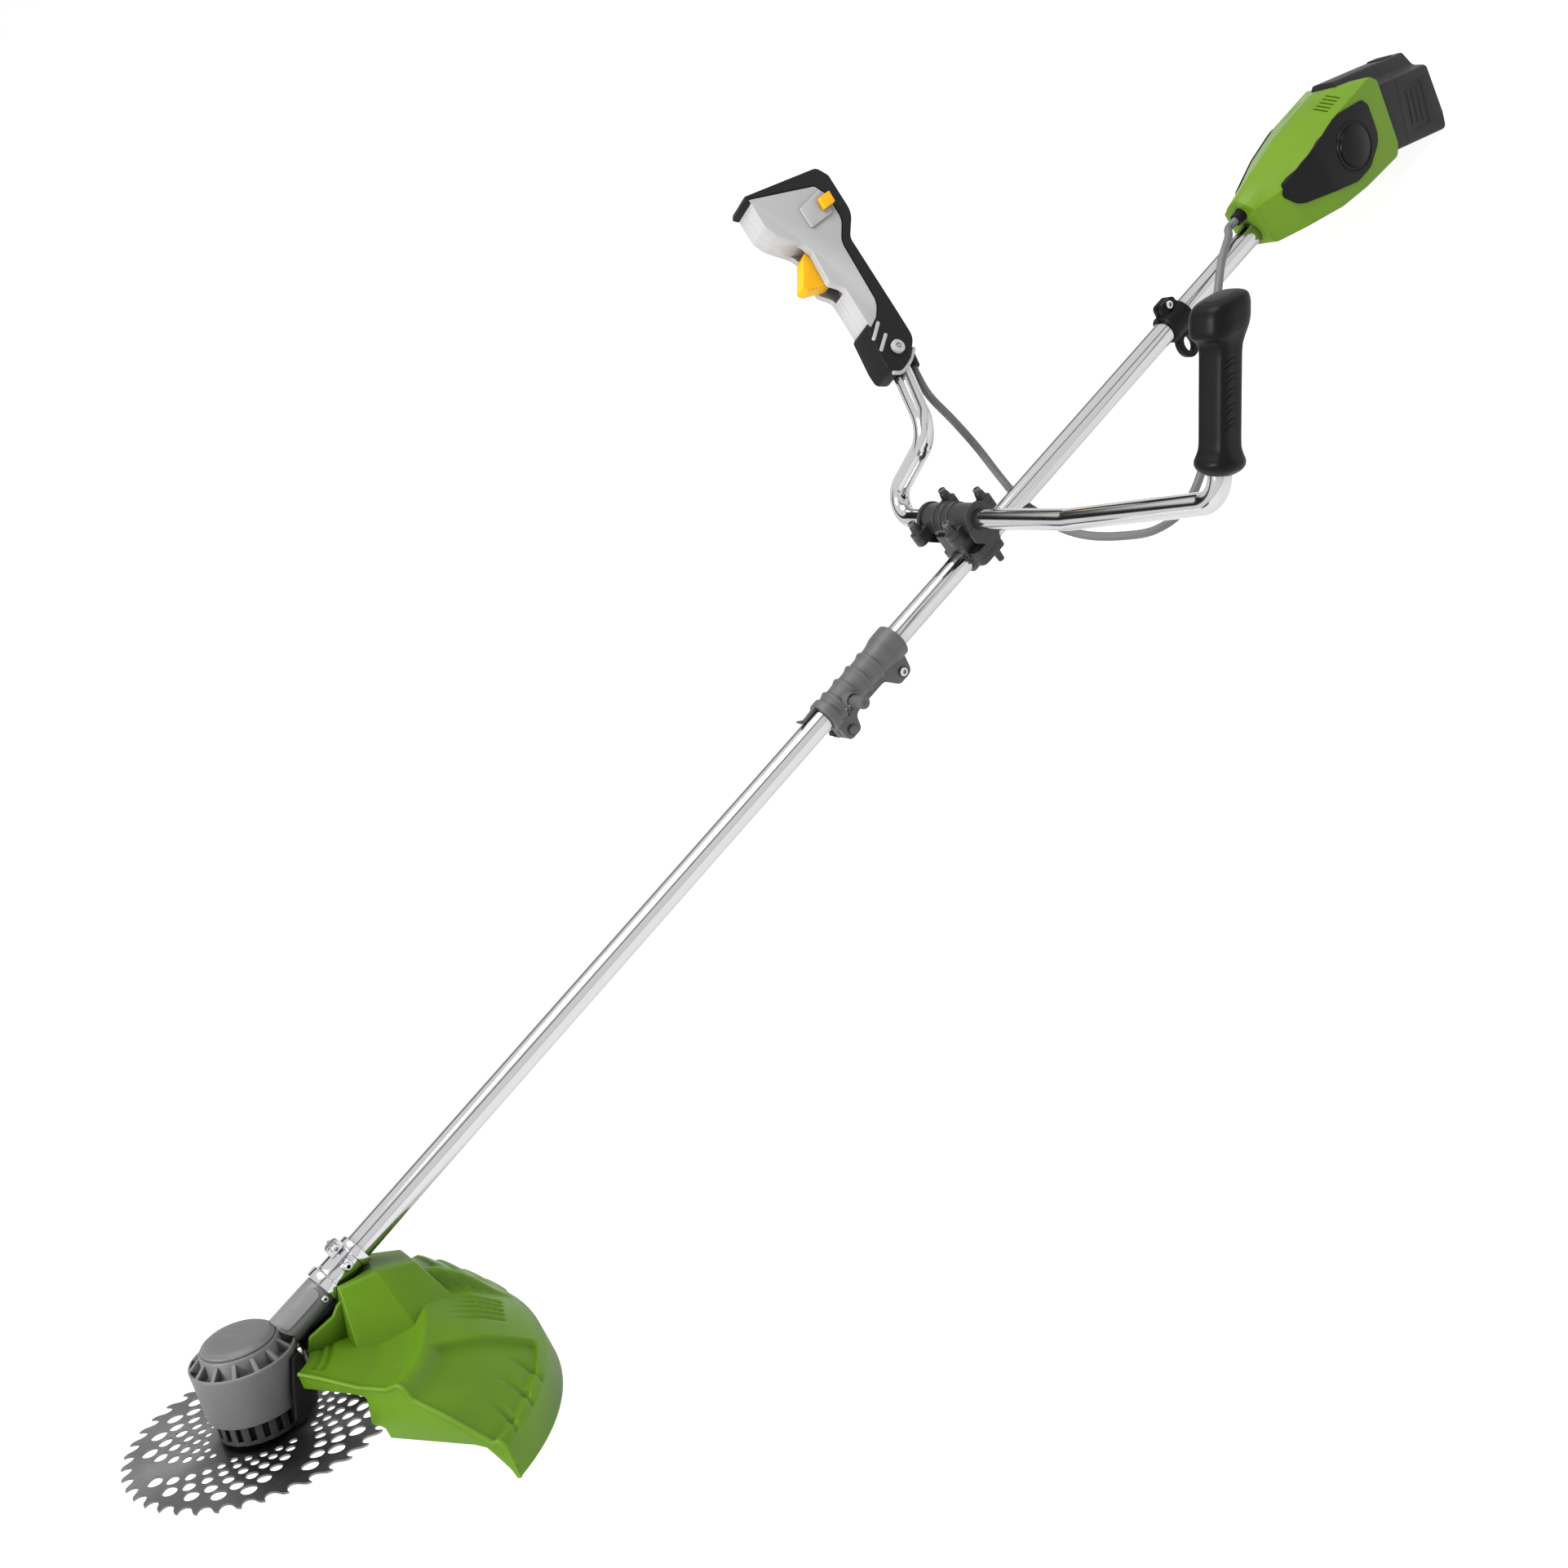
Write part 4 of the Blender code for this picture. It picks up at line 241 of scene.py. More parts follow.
def turned(outline, segments=96, radius_at=None):
    """Turn an (r, z) outline round z; one that ends where it starts makes a closed ring."""
    bm = bmesh.new()
    rings = []
    closed = outline[0] == outline[-1]
    for r, z in outline[:-1] if closed else outline:
        ring = [(radius_at(angle, r) if radius_at else r, angle) for angle in turns(segments)]
        rings.append([bm.verts.new((*polar(*point), z)) for point in (ring if r else ring[:1])])
    if closed:
        rings.append(rings[0])
    for low, high in zip(rings, rings[1:]):
        for step in range(segments):
            bm.faces.new(dict.fromkeys((low[step % len(low)], low[(step + 1) % len(low)],
                                        high[(step + 1) % len(high)], high[step % len(high)])))
    return bm


def loft(rings):
    """A solid through rings that have as many points each, flat at both ends."""
    bm = bmesh.new()
    verts = [[bm.verts.new(point) for point in ring] for ring in rings]
    count = len(rings[0])
    for here, after in zip(verts, verts[1:]):
        for index in range(count):
            nxt = (index + 1) % count
            bm.faces.new((here[index], here[nxt], after[nxt], after[index]))
    bm.faces.new(verts[0][::-1])
    bm.faces.new(verts[-1])
    bmesh.ops.recalc_face_normals(bm, faces=bm.faces)
    return bm


def prism(outline, low, high, axes="xyz"):
    """An outline made solid between two levels; axes names its own two and that of the levels."""
    order = [axes.index(letter) for letter in "xyz"]
    return loft([[[(u, v, level)[place] for place in order] for u, v in outline] for level in (low, high)])


def slab(outline, near, far, side=1):
    """An outline of the side view made solid between two distances to one side."""
    return prism(outline, *sorted((side * near, side * far)), "yzx")


def box(low, high):
    return prism(rectangle(*low[:2], *high[:2]), low[2], high[2])


def rod(radius, low, high, segments=48, bore=0, edge=0.6):
    """A round bar along z, or a tube, with bevelled rims."""
    rim = [(radius, low), (radius, high)]
    if edge:
        rim = [(radius - edge, low), (radius, low + edge), (radius, high - edge), (radius - edge, high)]
    return turned([(bore, low)] + rim + [(bore, high)] + ([(bore, low)] if bore else []), segments)


def drill(radius, low, high, segments=64):
    return rod(radius, low, high, segments, edge=0)


def bolt(radius, low, high, head_r, head_high):
    """A socket-head bolt along z."""
    return turned([(0, low), (radius - 0.4, low), (radius, low + 0.4), (radius, high), (head_r - 0.3, high),
                   (head_r, high + 0.4), (head_r, head_high - 0.6), (head_r - 0.6, head_high),
                   (head_r * 0.55, head_high), (head_r * 0.5, head_high - 2), (0, head_high - 2)], 36)


def swept(points, radii, sides):
    """A round bar along a path, with a radius for each point of it."""
    return loft([[point + (side * math.cos(angle) + up * math.sin(angle)) * radius for angle in turns(sides)]
                 for (point, side, up), radius in zip(path_frames(points), radii)])


def placed(bm, location=ORIGIN, rotation=ORIGIN):
    matrix = Matrix.Translation(location)
    for axis, angle in zip("XYZ", rotation):
        matrix = matrix @ Matrix.Rotation(angle, 4, axis)
    bmesh.ops.transform(bm, matrix=matrix, verts=bm.verts)
    return bm


def across(bm, y, z):
    """Lay a shape made along z across the tool, at a place of its side view."""
    return placed(bm, (0, y, z), (0, QUARTER, 0))


def lengthways(bm, place=ORIGIN):
    """Lay a shape made along z along y."""
    return placed(bm, place, (-QUARTER, 0, 0))


def merged(*shapes):
    result = bmesh.new()
    for shape in shapes:
        mesh = bpy.data.meshes.new("part")
        shape.to_mesh(mesh)
        shape.free()
        result.from_mesh(mesh)
        bpy.data.meshes.remove(mesh)
    return result


# Objects

def linked(name, data, where):
    obj = bpy.data.objects.new(name, data)
    bpy.context.scene.collection.objects.link(obj)
    obj.matrix_world = where
    return obj


def mesh_object(name, bm, where):
    mesh = bpy.data.meshes.new(name)
    bm.to_mesh(mesh)
    bm.free()
    return linked(name, mesh, where)


def link(name, bm, where):
    """An object from a millimetre shape, in one of the frames above."""
    bmesh.ops.scale(bm, vec=(MM, MM, MM), verts=bm.verts)
    return mesh_object(name, bm, where)


def modified(obj, kind, **settings):
    """Keep what a modifier makes of an object as its mesh."""
    modifier = obj.modifiers.new(kind, kind)
    for name, value in settings.items():
        setattr(modifier, name, value)
    bpy.context.view_layer.update()
    graph = bpy.context.evaluated_depsgraph_get()
    mesh = bpy.data.meshes.new_from_object(obj.evaluated_get(graph), depsgraph=graph)
    obj.modifiers.clear()
    obj.data = mesh
    return obj


def rounded(obj, width, segments=3, angle=35):
    return modified(obj, "BEVEL", width=width * MM, segments=segments, limit_method="ANGLE",
                    angle_limit=math.radians(angle))


def cut(obj, bm, where=None, operation="DIFFERENCE"):
    """Cut a millimetre shape from an object, or join one to it."""
    bmesh.ops.recalc_face_normals(bm, faces=bm.faces)
    tool = link("cutter", bm, where or obj.matrix_world)
    modified(obj, "BOOLEAN", operation=operation, object=tool)
    bpy.data.objects.remove(tool)
    return obj


def joined(name, parts):
    """One object from several that share a frame."""
    bm = bmesh.new()
    for part in parts:
        bm.from_mesh(part.data)
    where = parts[0].matrix_world.copy()
    for part in parts:
        bpy.data.objects.remove(part)
    return mesh_object(name, bm, where)


def carved(name, shapes, cutters, edge):
    """Simple shapes of the tool frame, each cut by the same cutters and rounded, in one object."""
    parts = []
    for shape in shapes:
        part = link(name, shape, TOOL)
        for cutter, where in cutters:
            cut(part, cutter.copy(), where)
        parts.append(rounded(part, edge, 3, 40))
    return joined(name, parts)


def finished(obj, look, body, node="", smooth=35):
    """Shade and paint a piece, and hand it to the CAD body that carries it."""
    obj.data.materials.clear()
    obj.data.materials.append(LOOKS[look])
    for polygon in obj.data.polygons:
        polygon.material_index = 0
    obj.data.shade_smooth()
    obj.data.set_sharp_from_angle(angle=math.radians(smooth))
    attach(obj, body)
    if node:
        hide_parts(node)
    return obj


def piece(name, bm, where, look, body, node="", edge=0, segments=3, angle=35, smooth=35):
    obj = link(name, bm, where)
    if edge:
        rounded(obj, edge, segments, angle)
    return finished(obj, look, body, node, smooth)


# Materials

PATCHES = 14
PATCH_RANGE = (0.3, 0.7)
GRAIN_RANGE = (0.35, 0.65)
# Ambient occlusion read as painted shade in hollows: the span that maps to it.
HOLLOW_SHADE_RANGE = (0.35, 0.95)
EDGE_RANGE = (0.51, 0.58)
EDGE_LIGHT = 1.7
ROUGH_SPREAD = 0.15
RELIEF_DEPTH = 0.0004


def feed(tree, target, inputs):
    """Set a node's inputs, or link them to the outputs of other nodes."""
    for socket, value in inputs.items():
        if isinstance(value, bpy.types.NodeSocket):
            tree.links.new(value, target.inputs[socket])
        else:
            target.inputs[socket].default_value = value


def node(tree, kind, inputs=None, output=0, **settings):
    """Make a node with its settings and inputs, and give back one of its outputs."""
    made = tree.nodes.new(kind)
    for name, value in settings.items():
        setattr(made, name, value)
    feed(tree, made, inputs or {})
    return made.outputs[output] if made.outputs else None


def maths(tree, operation, first, second=0.5):
    return node(tree, "ShaderNodeMath", {0: first, 1: second}, operation=operation)


def noise(tree, vector, scale, detail):
    return node(tree, "ShaderNodeTexNoise",
                {"Vector": vector, "Scale": scale, "Detail": detail, "Roughness": 0.55})


def remap(tree, value, span, to_low, to_high):
    return node(tree, "ShaderNodeMapRange", {"Value": value, "From Min": span[0], "From Max": span[1],
                                             "To Min": to_low, "To Max": to_high})


def mix_colour(tree, factor, first, second):
    return node(tree, "ShaderNodeMix", {0: factor, 6: first, 7: second}, 2, data_type="RGBA")


def shade(colour, factor):
    return (*(min(1.0, channel * factor) for channel in colour), 1)


def surface(name, colour, roughness, metallic=0.0, vary=0.12, grain=900, relief=0.06, stretch=(1, 1, 1),
            edge=0.25, specular=0.5, hollow_shade=0.55, reach=0.03, radial=0.0):
    """A moulded, cast or drawn surface: uneven colour, fine grain, lighter edges, and painted shade that darkens
    the colour in hollows.
    """
    mat = bpy.data.materials.new(name)
    mat.use_nodes = True
    tree = mat.node_tree
    vector = node(tree, "ShaderNodeMapping",
                  {"Vector": node(tree, "ShaderNodeTexCoord", output="Object"), "Scale": stretch})
    broad = noise(tree, vector, PATCHES, 3)
    fine = noise(tree, vector, grain, 6)
    tone = mix_colour(tree, remap(tree, broad, PATCH_RANGE, 0, 1), shade(colour, 1 - vary),
                      shade(colour, 1 + vary))
    # Painted shade: ambient occlusion darkens the base colour in hollows, creases and where parts meet; the
    # grain's tone is multiplied by it.
    painted_shade_occlusion = node(tree, "ShaderNodeAmbientOcclusion", {"Distance": reach}, "AO", samples=6)
    depth = maths(tree, "MULTIPLY", remap(tree, fine, GRAIN_RANGE, 1 - vary / 2, 1 + vary / 2),
                  remap(tree, painted_shade_occlusion, HOLLOW_SHADE_RANGE, hollow_shade, 1))
    grained_and_shaded = node(tree, "ShaderNodeVectorMath", {0: tone, "Scale": depth}, operation="SCALE")
    worn = remap(tree, node(tree, "ShaderNodeNewGeometry", output="Pointiness"), EDGE_RANGE, 0, edge)
    bump = node(tree, "ShaderNodeBump", {"Height": fine, "Strength": relief, "Distance": RELIEF_DEPTH})
    shader = tree.nodes["Principled BSDF"]
    feed(tree, shader, {
        "Metallic": metallic,
        "Specular IOR Level": specular,
        "Base Color": mix_colour(tree, worn, grained_and_shaded, shade(colour, EDGE_LIGHT)),
        "Roughness": remap(tree, broad, PATCH_RANGE, roughness * (1 - ROUGH_SPREAD),
                           roughness * (1 + ROUGH_SPREAD)),
        "Normal": bump,
    })
    if radial:
        round_axis = node(tree, "ShaderNodeTangent", direction_type="RADIAL", axis="Z")
        feed(tree, shader, {"Anisotropic": radial, "Tangent": round_axis})
    return mat


def make_looks():
    return {
        "drum": surface("drum", (0.15, 0.15, 0.153), 0.45, 0.1, specular=0.3),
        "skirt": surface("skirt", (0.035, 0.035, 0.036), 0.45, 0.1, specular=0.3),
        "neck": surface("neck", (0.2, 0.2, 0.203), 0.42, 0.15),
        "steel": surface("steel", (0.55, 0.56, 0.58), 0.3, 1.0, grain=600),
        "chrome": surface("chrome", (0.52, 0.52, 0.53), 0.12, 1.0, vary=0.05, relief=0.03),
        "tube": surface("tube", (0.58, 0.58, 0.59), 0.1, 1.0, vary=0.04, grain=500, relief=0.03,
                        stretch=(1, 1, 0.01), edge=0),
        "aluminium": surface("aluminium", (0.6, 0.6, 0.62), 0.4, 1.0),
        "copper": surface("copper", (0.55, 0.25, 0.1), 0.4, 1.0),
        "magnet": surface("magnet", (0.08, 0.08, 0.09), 0.35, 0.8),
        "blade": surface("blade", (0.2, 0.2, 0.205), 0.38, 1.0, grain=500, radial=0.85),
        # The guard's green gets deeper and wider painted shade in its hollows, to darken its valleys.
        "green": surface("green", (0.105, 0.225, 0.007), 0.4, vary=0.08, relief=0.05, edge=0.15,
                         specular=0.2, hollow_shade=0.42, reach=0.07),
        "green_light": surface("green_light", (0.135, 0.262, 0.007), 0.36, vary=0.06, relief=0.05,
                               edge=0.15, specular=0.25),
        "black": surface("black", (0.009, 0.009, 0.01), 0.42, specular=0.15),
        "rubber": surface("rubber", (0.005, 0.005, 0.005), 0.4, grain=1400, specular=0.12),
        "gloss": surface("gloss", (0.004, 0.004, 0.004), 0.25, vary=0.05, relief=0.01, specular=0.16),
        "coupler": surface("coupler", (0.085, 0.085, 0.086), 0.5, grain=700, relief=0.15),
        "clamp": surface("clamp", (0.028, 0.028, 0.029), 0.42, 0.2, grain=700, relief=0.12),
        "grey": surface("grey", (0.48, 0.48, 0.485), 0.45, vary=0.05, specular=0.3),
        "yellow": surface("yellow", (0.95, 0.47, 0.006), 0.4, vary=0.05, specular=0.25),
        "battery": surface("battery", (0.017, 0.017, 0.018), 0.5, grain=1100, relief=0.12, specular=0.25),
        "cell": surface("cell", (0.05, 0.15, 0.4), 0.4),
        "board": surface("board", (0.02, 0.2, 0.06), 0.5),
        "conduit": surface("conduit", (0.16, 0.16, 0.163), 0.45),
    }


# Stage: floor, world, lamps, cards and camera

WORLD_LIGHT = 0.27
FLOOR_WIDTH = 400
FLOOR_DROP = -0.2
FLOOR_COLOUR = (0.86, 0.86, 0.86, 1)
FLOOR_GLOW = 1.56
FLOOR_SHARE = 0.6
OTHER_RAYS = 0.5
CARD_FADE = (0.32, 0.5)
LAMPS = [("key", (0.3, -2.6, 2.8), (0, -0.3, 0.1), 1.4, 115),
         ("top", (0.2, 0.8, 3.0), (0, 0.2, 0.1), 1.8, 60)]
CARDS = [("far_card", (-2.0, 0.9, 1.35), 5.0, 0.8, 0.02), ("near_card", (1.23, 0.9, 1.58), 4.6, 0.4, 0.2)]


def seen_white(tree, mirrored=True):
    """One for the camera's rays, those through glass and glossy ones; unmirrored, all others count half."""
    path = tree.nodes.new("ShaderNodeLightPath").outputs
    others = path["Is Glossy Ray"] if mirrored else OTHER_RAYS
    return maths(tree, "MAXIMUM", maths(tree, "MAXIMUM", path["Is Camera Ray"], others),
                 path["Is Transmission Ray"])


def emptied_tree(owner):
    owner.use_nodes = True
    owner.node_tree.nodes.clear()
    return owner.node_tree


def show_mixed(tree, factor, first, second, kind="ShaderNodeOutputMaterial"):
    node(tree, kind, {0: node(tree, "ShaderNodeMixShader", {0: factor, 1: first, 2: second})})


def make_world():
    world = bpy.data.worlds.new("studio")
    bpy.context.scene.world = world
    tree = emptied_tree(world)
    dim, white = [node(tree, "ShaderNodeBackground", {"Color": WHITE, "Strength": strength})
                  for strength in (WORLD_LIGHT, 1.0)]
    show_mixed(tree, seen_white(tree), dim, white, "ShaderNodeOutputWorld")


def sheet(name, where, length, width):
    """A flat sheet, and the empty node tree of its own material."""
    bm = bmesh.new()
    bmesh.ops.create_grid(bm, x_segments=1, y_segments=1, size=0.5)
    bmesh.ops.scale(bm, vec=(length, width, 1), verts=bm.verts)
    obj = mesh_object(name, bm, where)
    mat = bpy.data.materials.new(name)
    obj.data.materials.append(mat)
    return obj, emptied_tree(mat)


def make_floor():
    floor, tree = sheet("floor", Matrix.Translation((0, 0, FLOOR_DROP * MM)), FLOOR_WIDTH, FLOOR_WIDTH)
    matte = node(tree, "ShaderNodeBsdfDiffuse", {"Color": FLOOR_COLOUR})
    glow = node(tree, "ShaderNodeEmission", {"Color": WHITE, "Strength": FLOOR_GLOW})
    show_mixed(tree, maths(tree, "MULTIPLY", seen_white(tree, False), FLOOR_SHARE), matte, glow)


def soft_lamp(name, place, aim, size, power):
    data = bpy.data.lights.new(name, "AREA")
    data.shape = "SQUARE"
    data.size = size
    data.energy = power
    turn = (Vector(aim) - Vector(place)).to_track_quat("-Z", "Y").to_matrix().to_4x4()
    linked(name, data, Matrix.Translation(place) @ turn)


def dark_card(name, place, length, width, tone):
    """A card along the tool, out of view, that only bright metal mirrors; soft along its edges."""
    along = Vector((0, 1, 0))
    facing = -(Vector(place) - along * Vector(place).dot(along)).normalized()
    card, tree = sheet(name, TOOL @ framed(along, facing.cross(along), facing, place), length, width)
    parts = node(tree, "ShaderNodeSeparateXYZ", {0: node(tree, "ShaderNodeTexCoord")}, "Y")
    away = maths(tree, "ABSOLUTE", maths(tree, "SUBTRACT", parts))
    dark = node(tree, "ShaderNodeEmission", {"Color": (tone, tone, tone, 1)})
    show_mixed(tree, remap(tree, away, CARD_FADE, 0, 1), dark, node(tree, "ShaderNodeBsdfTransparent"))
    for rays in ("camera", "diffuse", "transmission", "shadow"):
        setattr(card, "visible_" + rays, False)


def make_camera():
    turn = TOOL.to_3x3()
    look = (turn @ Vector(CAMERA_LOOK)).normalized()
    side = look.cross((turn @ Vector(CAMERA_UP)).normalized()).normalized()
    data = bpy.data.cameras.new("camera")
    data.sensor_fit = "HORIZONTAL"
    data.sensor_width = SENSOR
    data.lens = SENSOR * FOCAL_PIXELS / PHOTO_SIDE
    data.clip_start = 0.01
    data.clip_end = 500
    place = TOOL @ Vector(CAMERA_PLACE)
    bpy.context.scene.camera = linked("camera", data, framed(side, side.cross(look), -look, place))


def make_stage():
    make_world()
    make_floor()
    for lamp in LAMPS:
        soft_lamp(*lamp)
    for card in CARDS:
        dark_card(*card)
    make_camera()
    bpy.context.scene.view_settings.view_transform = "Standard"


# Guard

GUARD_FROM = math.radians(33)
GUARD_MIDDLE = math.radians(90)
GUARD_TO = math.radians(128)
GUARD_WALL = 2.6
GUARD_INNER_R = 57
GUARD_R = 267
GUARD_RIM = -85
CHEEK = [(98, 40), (86, 34), (80, 26), (55, 17), (50, 4), (50, -10), (66, -12), (104, -8), (110, 30)]
CHEEK_FROM = 21
CHEEK_TO = 25.5
STEP_FAR = 17
STEP_NEAR = 98
BRIDGE_LOW = [(-54, 86), (54, 86), (76, 143), (40, 196), (-40, 196), (-76, 143)]
BRIDGE_HIGH = [(-26, 92, 49), (26, 92, 49), (26, 128, 49), (20, 168, 38), (-20, 168, 38), (-26, 128, 49)]
BRIDGE_MIDDLE = 138
LOUVRES = 5
LOUVRE_X = 34
LOUVRE_PITCH = 8.4
LOUVRE_DEPTH = 3.2
TERRACE_R = 184
TERRACE_PITCH = 20
TERRACE_RISE = 3
SCOOPS = (59.5, 51.5, 43.0)
SCOOP_DEPTH = 2.8
GROOVE_RADII = (67, 76)
BEAD_R = 2.2


def deck_height(r, angle):
    """Height of the guard's skin: a dished deck, a spine behind the bridge and two steps."""
    x, y = polar(r, angle)
    span = (GUARD_TO - GUARD_FROM) / 2
    rise = 17 * max(0.0, math.cos(min(1.0, abs(angle - GUARD_MIDDLE) / span) * QUARTER)) ** 1.5
    height = between(r, [(GUARD_INNER_R, 2 + rise * 0.2), (80, -1 + rise * 0.3), (120, -8 + rise * 0.5),
                         (150, -8 + rise), (163, -3 + rise), (208, -24 + rise), (247, -46 + rise * 0.5),
                         (260, -57 + rise * 0.2), (GUARD_R, GUARD_RIM)])
    spine = (1 - ease(x, STEP_FAR, STEP_FAR + 4)) * ease(x, -52, -36) * ease(r, 140, 160)
    height += spine * between(r, [(140, 10), (176, 14), (190, 15), (252, 0)])
    lip = ease(r, 150, 170) * (1 - ease(r, 236, 252)) * (1 - ease(r, 215, 240))
    height += 4 * math.exp(-((x - STEP_FAR + 4) / 6) ** 2) * lip
    height -= 8 * ease(x, STEP_NEAR, STEP_NEAR + 4.5) * ease(r, 168, 176) * (1 - ease(r, 246, 254))
    return height + louvres(x, y, r) + terraces(x, r) + scoops(r, angle) + rings(r, angle)


def louvres(x, y, r):
    """Slots that deepen outwards, on the middle level."""
    place = (x - LOUVRE_X) / LOUVRE_PITCH
    if not 0 < place < LOUVRES or not 180 < r < 240:
        return 0
    level, share = divmod(place, 1)
    reach = ease(y, 168 - 2 * level, 214 - 2 * level) * (1 - ease(y, 227 - 3 * level, 231 - 3 * level))
    return -LOUVRE_DEPTH * reach * math.sin(math.pi * share) ** 2


def terraces(x, r):
    """Ridges across the top of the spine."""
    place = (r - TERRACE_R) / TERRACE_PITCH
    if not 0 < place < 3.4:
        return 0
    share = place % 1
    width = ease(x, -48, -34) * (1 - ease(x, -6, 4))
    return TERRACE_RISE * width * (ease(share, 0, 0.35) - ease(share, 0.5, 1.0))


def scoops(r, angle):
    """Three curved scoops on the lower level."""
    along = (r - 218) / 42
    if not 0 < along < 1:
        return 0
    total = 0
    depth = SCOOP_DEPTH * ease(along, 0, 0.55) * (1 - ease(along, 0.9, 1.0))
    for start in SCOOPS:
        line = start - 1.0 * along - 5.5 * along ** 3
        offset = (math.degrees(angle) - line) * math.radians(1) * r
        total -= depth * ease(-offset, -11, -1) * (1 - ease(-offset, 0, 2.2))
    return total


def rings(r, angle):
    """Two shallow grooves round the drum."""
    inside = ease(math.degrees(angle), 40, 46) * (1 - ease(math.degrees(angle), 78, 86))
    return -2 * inside * sum(math.exp(-((r - groove) / 2.2) ** 2) for groove in GROOVE_RADII)


def guard_shell():
    radii = spread(GUARD_INNER_R, 255, 150) + spread(256, 258, 2) + spread(260, GUARD_R, 12)
    bm = bmesh.new()
    grid = [[bm.verts.new((*polar(r, angle), deck_height(r, angle))) for r in radii]
            for angle in spread(GUARD_FROM, GUARD_TO, 240)]
    for here, after in zip(grid, grid[1:]):
        for index in range(len(radii) - 1):
            bm.faces.new((here[index], here[index + 1], after[index + 1], after[index]))
    return modified(link("guard_skin", bm, HEAD), "SOLIDIFY", thickness=GUARD_WALL * MM, offset=-1)


def guard_wall(angle, near, far):
    """The flat end wall under the deck's edge, with its stepped lower edge."""
    top = [(r, deck_height(r, angle) - GUARD_WALL / 2) for r in spread(GUARD_INNER_R, GUARD_R, 60)]
    low = [(GUARD_R - 4, GUARD_RIM - 2), (259, -79), (251, -70), (240, -59), (228, -57), (146, -57),
           (140, -57), (137, -48), (133, -46), (125, -45), (123.5, -44), (126, -20), (124, -17), (110, -15),
           (GUARD_INNER_R + 2, -13)]
    return placed(prism(top + low, near, far, "xzy"), rotation=(0, 0, angle))


def bead(angle):
    """A rounded edge along the deck's end."""
    points = [Vector((*polar(r, angle), deck_height(r, angle) - 0.6)) for r in spread(58, 264, 90)]
    return swept(points, [BEAD_R] * len(points), 12)


def make_guard():
    shell = guard_shell()
    outside = loft([[(x, y, -16) for x, y in BRIDGE_LOW], BRIDGE_HIGH])
    bmesh.ops.triangulate(outside, faces=outside.faces)
    mount = rounded(link("guard_mount", outside, HEAD), BEAD_R, 4, 24)
    cut(mount, loft([[(x * scale, BRIDGE_MIDDLE + (y - BRIDGE_MIDDLE) * scale, z) for x, y in BRIDGE_LOW]
                     for z, scale in ((-40, 0.8), (6, 0.5))]))
    cut(mount, drill(19.6, 20, 138), SHAFT)
    for part in (mount, shell):
        cut(part, box((-12.6, 20, -60), (12.6, 104.6, -10)), TOOL)
    walls = [rounded(link(name, guard_wall(*place), HEAD), 0.7, 2, 50)
             for name, place in (("guard_front", (GUARD_FROM, 0, GUARD_WALL)),
                                 ("guard_rear", (GUARD_TO, -GUARD_WALL, 0)))]
    beads = link("guard_beads", merged(bead(GUARD_FROM + 0.006), bead(GUARD_TO - 0.006)), HEAD)
    outline = rounded_outline(CHEEK, 4, 5)
    cheeks = [rounded(link("guard_cheek", slab(outline, CHEEK_FROM, CHEEK_TO, side), HEAD), 1.2, 3, 40)
              for side in (-1, 1)]
    whole = joined("guard_panel", [shell, mount, *walls, beads, *cheeks])
    finished(whole, "green", "front_unit", "guard", 32)


# Blade and the nuts that hold it

BLADE_PLANE = -54.5
BLADE_HALF = 1
BLADE_R = 127.5
TEETH = 40
TOOTH = [(0.0, 0.0), (-0.03, 1.6), (-0.055, 3.8), (-0.045, 6.2), (0.0, 8.2), (0.08, 9.6), (0.18, 10.2),
         (0.29, 10.1), (0.4, 9.2), (0.5, 7.6), (0.58, 5.8), (0.66, 3.7), (0.74, 2.0), (0.84, 0.8)]
BLADE_BORE = 12.7
HOLE_RADII = [103, 92, 81, 70.5, 61, 52]
HOLE_SIZES = [8.0, 7.0, 6.1, 5.3, 4.6, 4.0]
HOLE_ADVANCE = math.radians(7.4)
HOLE_LEAN = math.radians(60)
HOLE_SIDES = 16
FIRST_HOLE = math.radians(-86)
ARC_GROUPS = 4
ARCS = 5
ARC_PITCH = math.radians(15)


def tooth_outline():
    """Hooked teeth with round gullets; a tooth is listed by its share of the pitch and its depth."""
    return [polar(BLADE_R - drop, 2 * math.pi * (tooth + share) / TEETH)
            for tooth in range(TEETH) for share, drop in TOOTH]


def egg(radius, angle, size):
    """A hole at a place of the disc, leaned against its radius and blunter at one end."""
    lean = angle + HOLE_LEAN
    loop = []
    for turn in turns(HOLE_SIDES):
        along = size * math.cos(turn)
        wide = size * 0.84 * math.sin(turn) * (1 + 0.16 * math.cos(turn))
        loop.append((radius * math.cos(angle) + along * math.cos(lean) - wide * math.sin(lean),
                     radius * math.sin(angle) + along * math.sin(lean) + wide * math.cos(lean)))
    return loop


def hole_outlines():
    """Holes in swept arcs, smaller towards the middle."""
    loops = []
    for group in range(ARC_GROUPS):
        for arc in range(ARCS):
            for step, (radius, size) in enumerate(zip(HOLE_RADII, HOLE_SIZES)):
                angle = FIRST_HOLE + group * QUARTER + arc * ARC_PITCH + step * HOLE_ADVANCE
                loops.append(egg(radius, angle, size))
    return loops


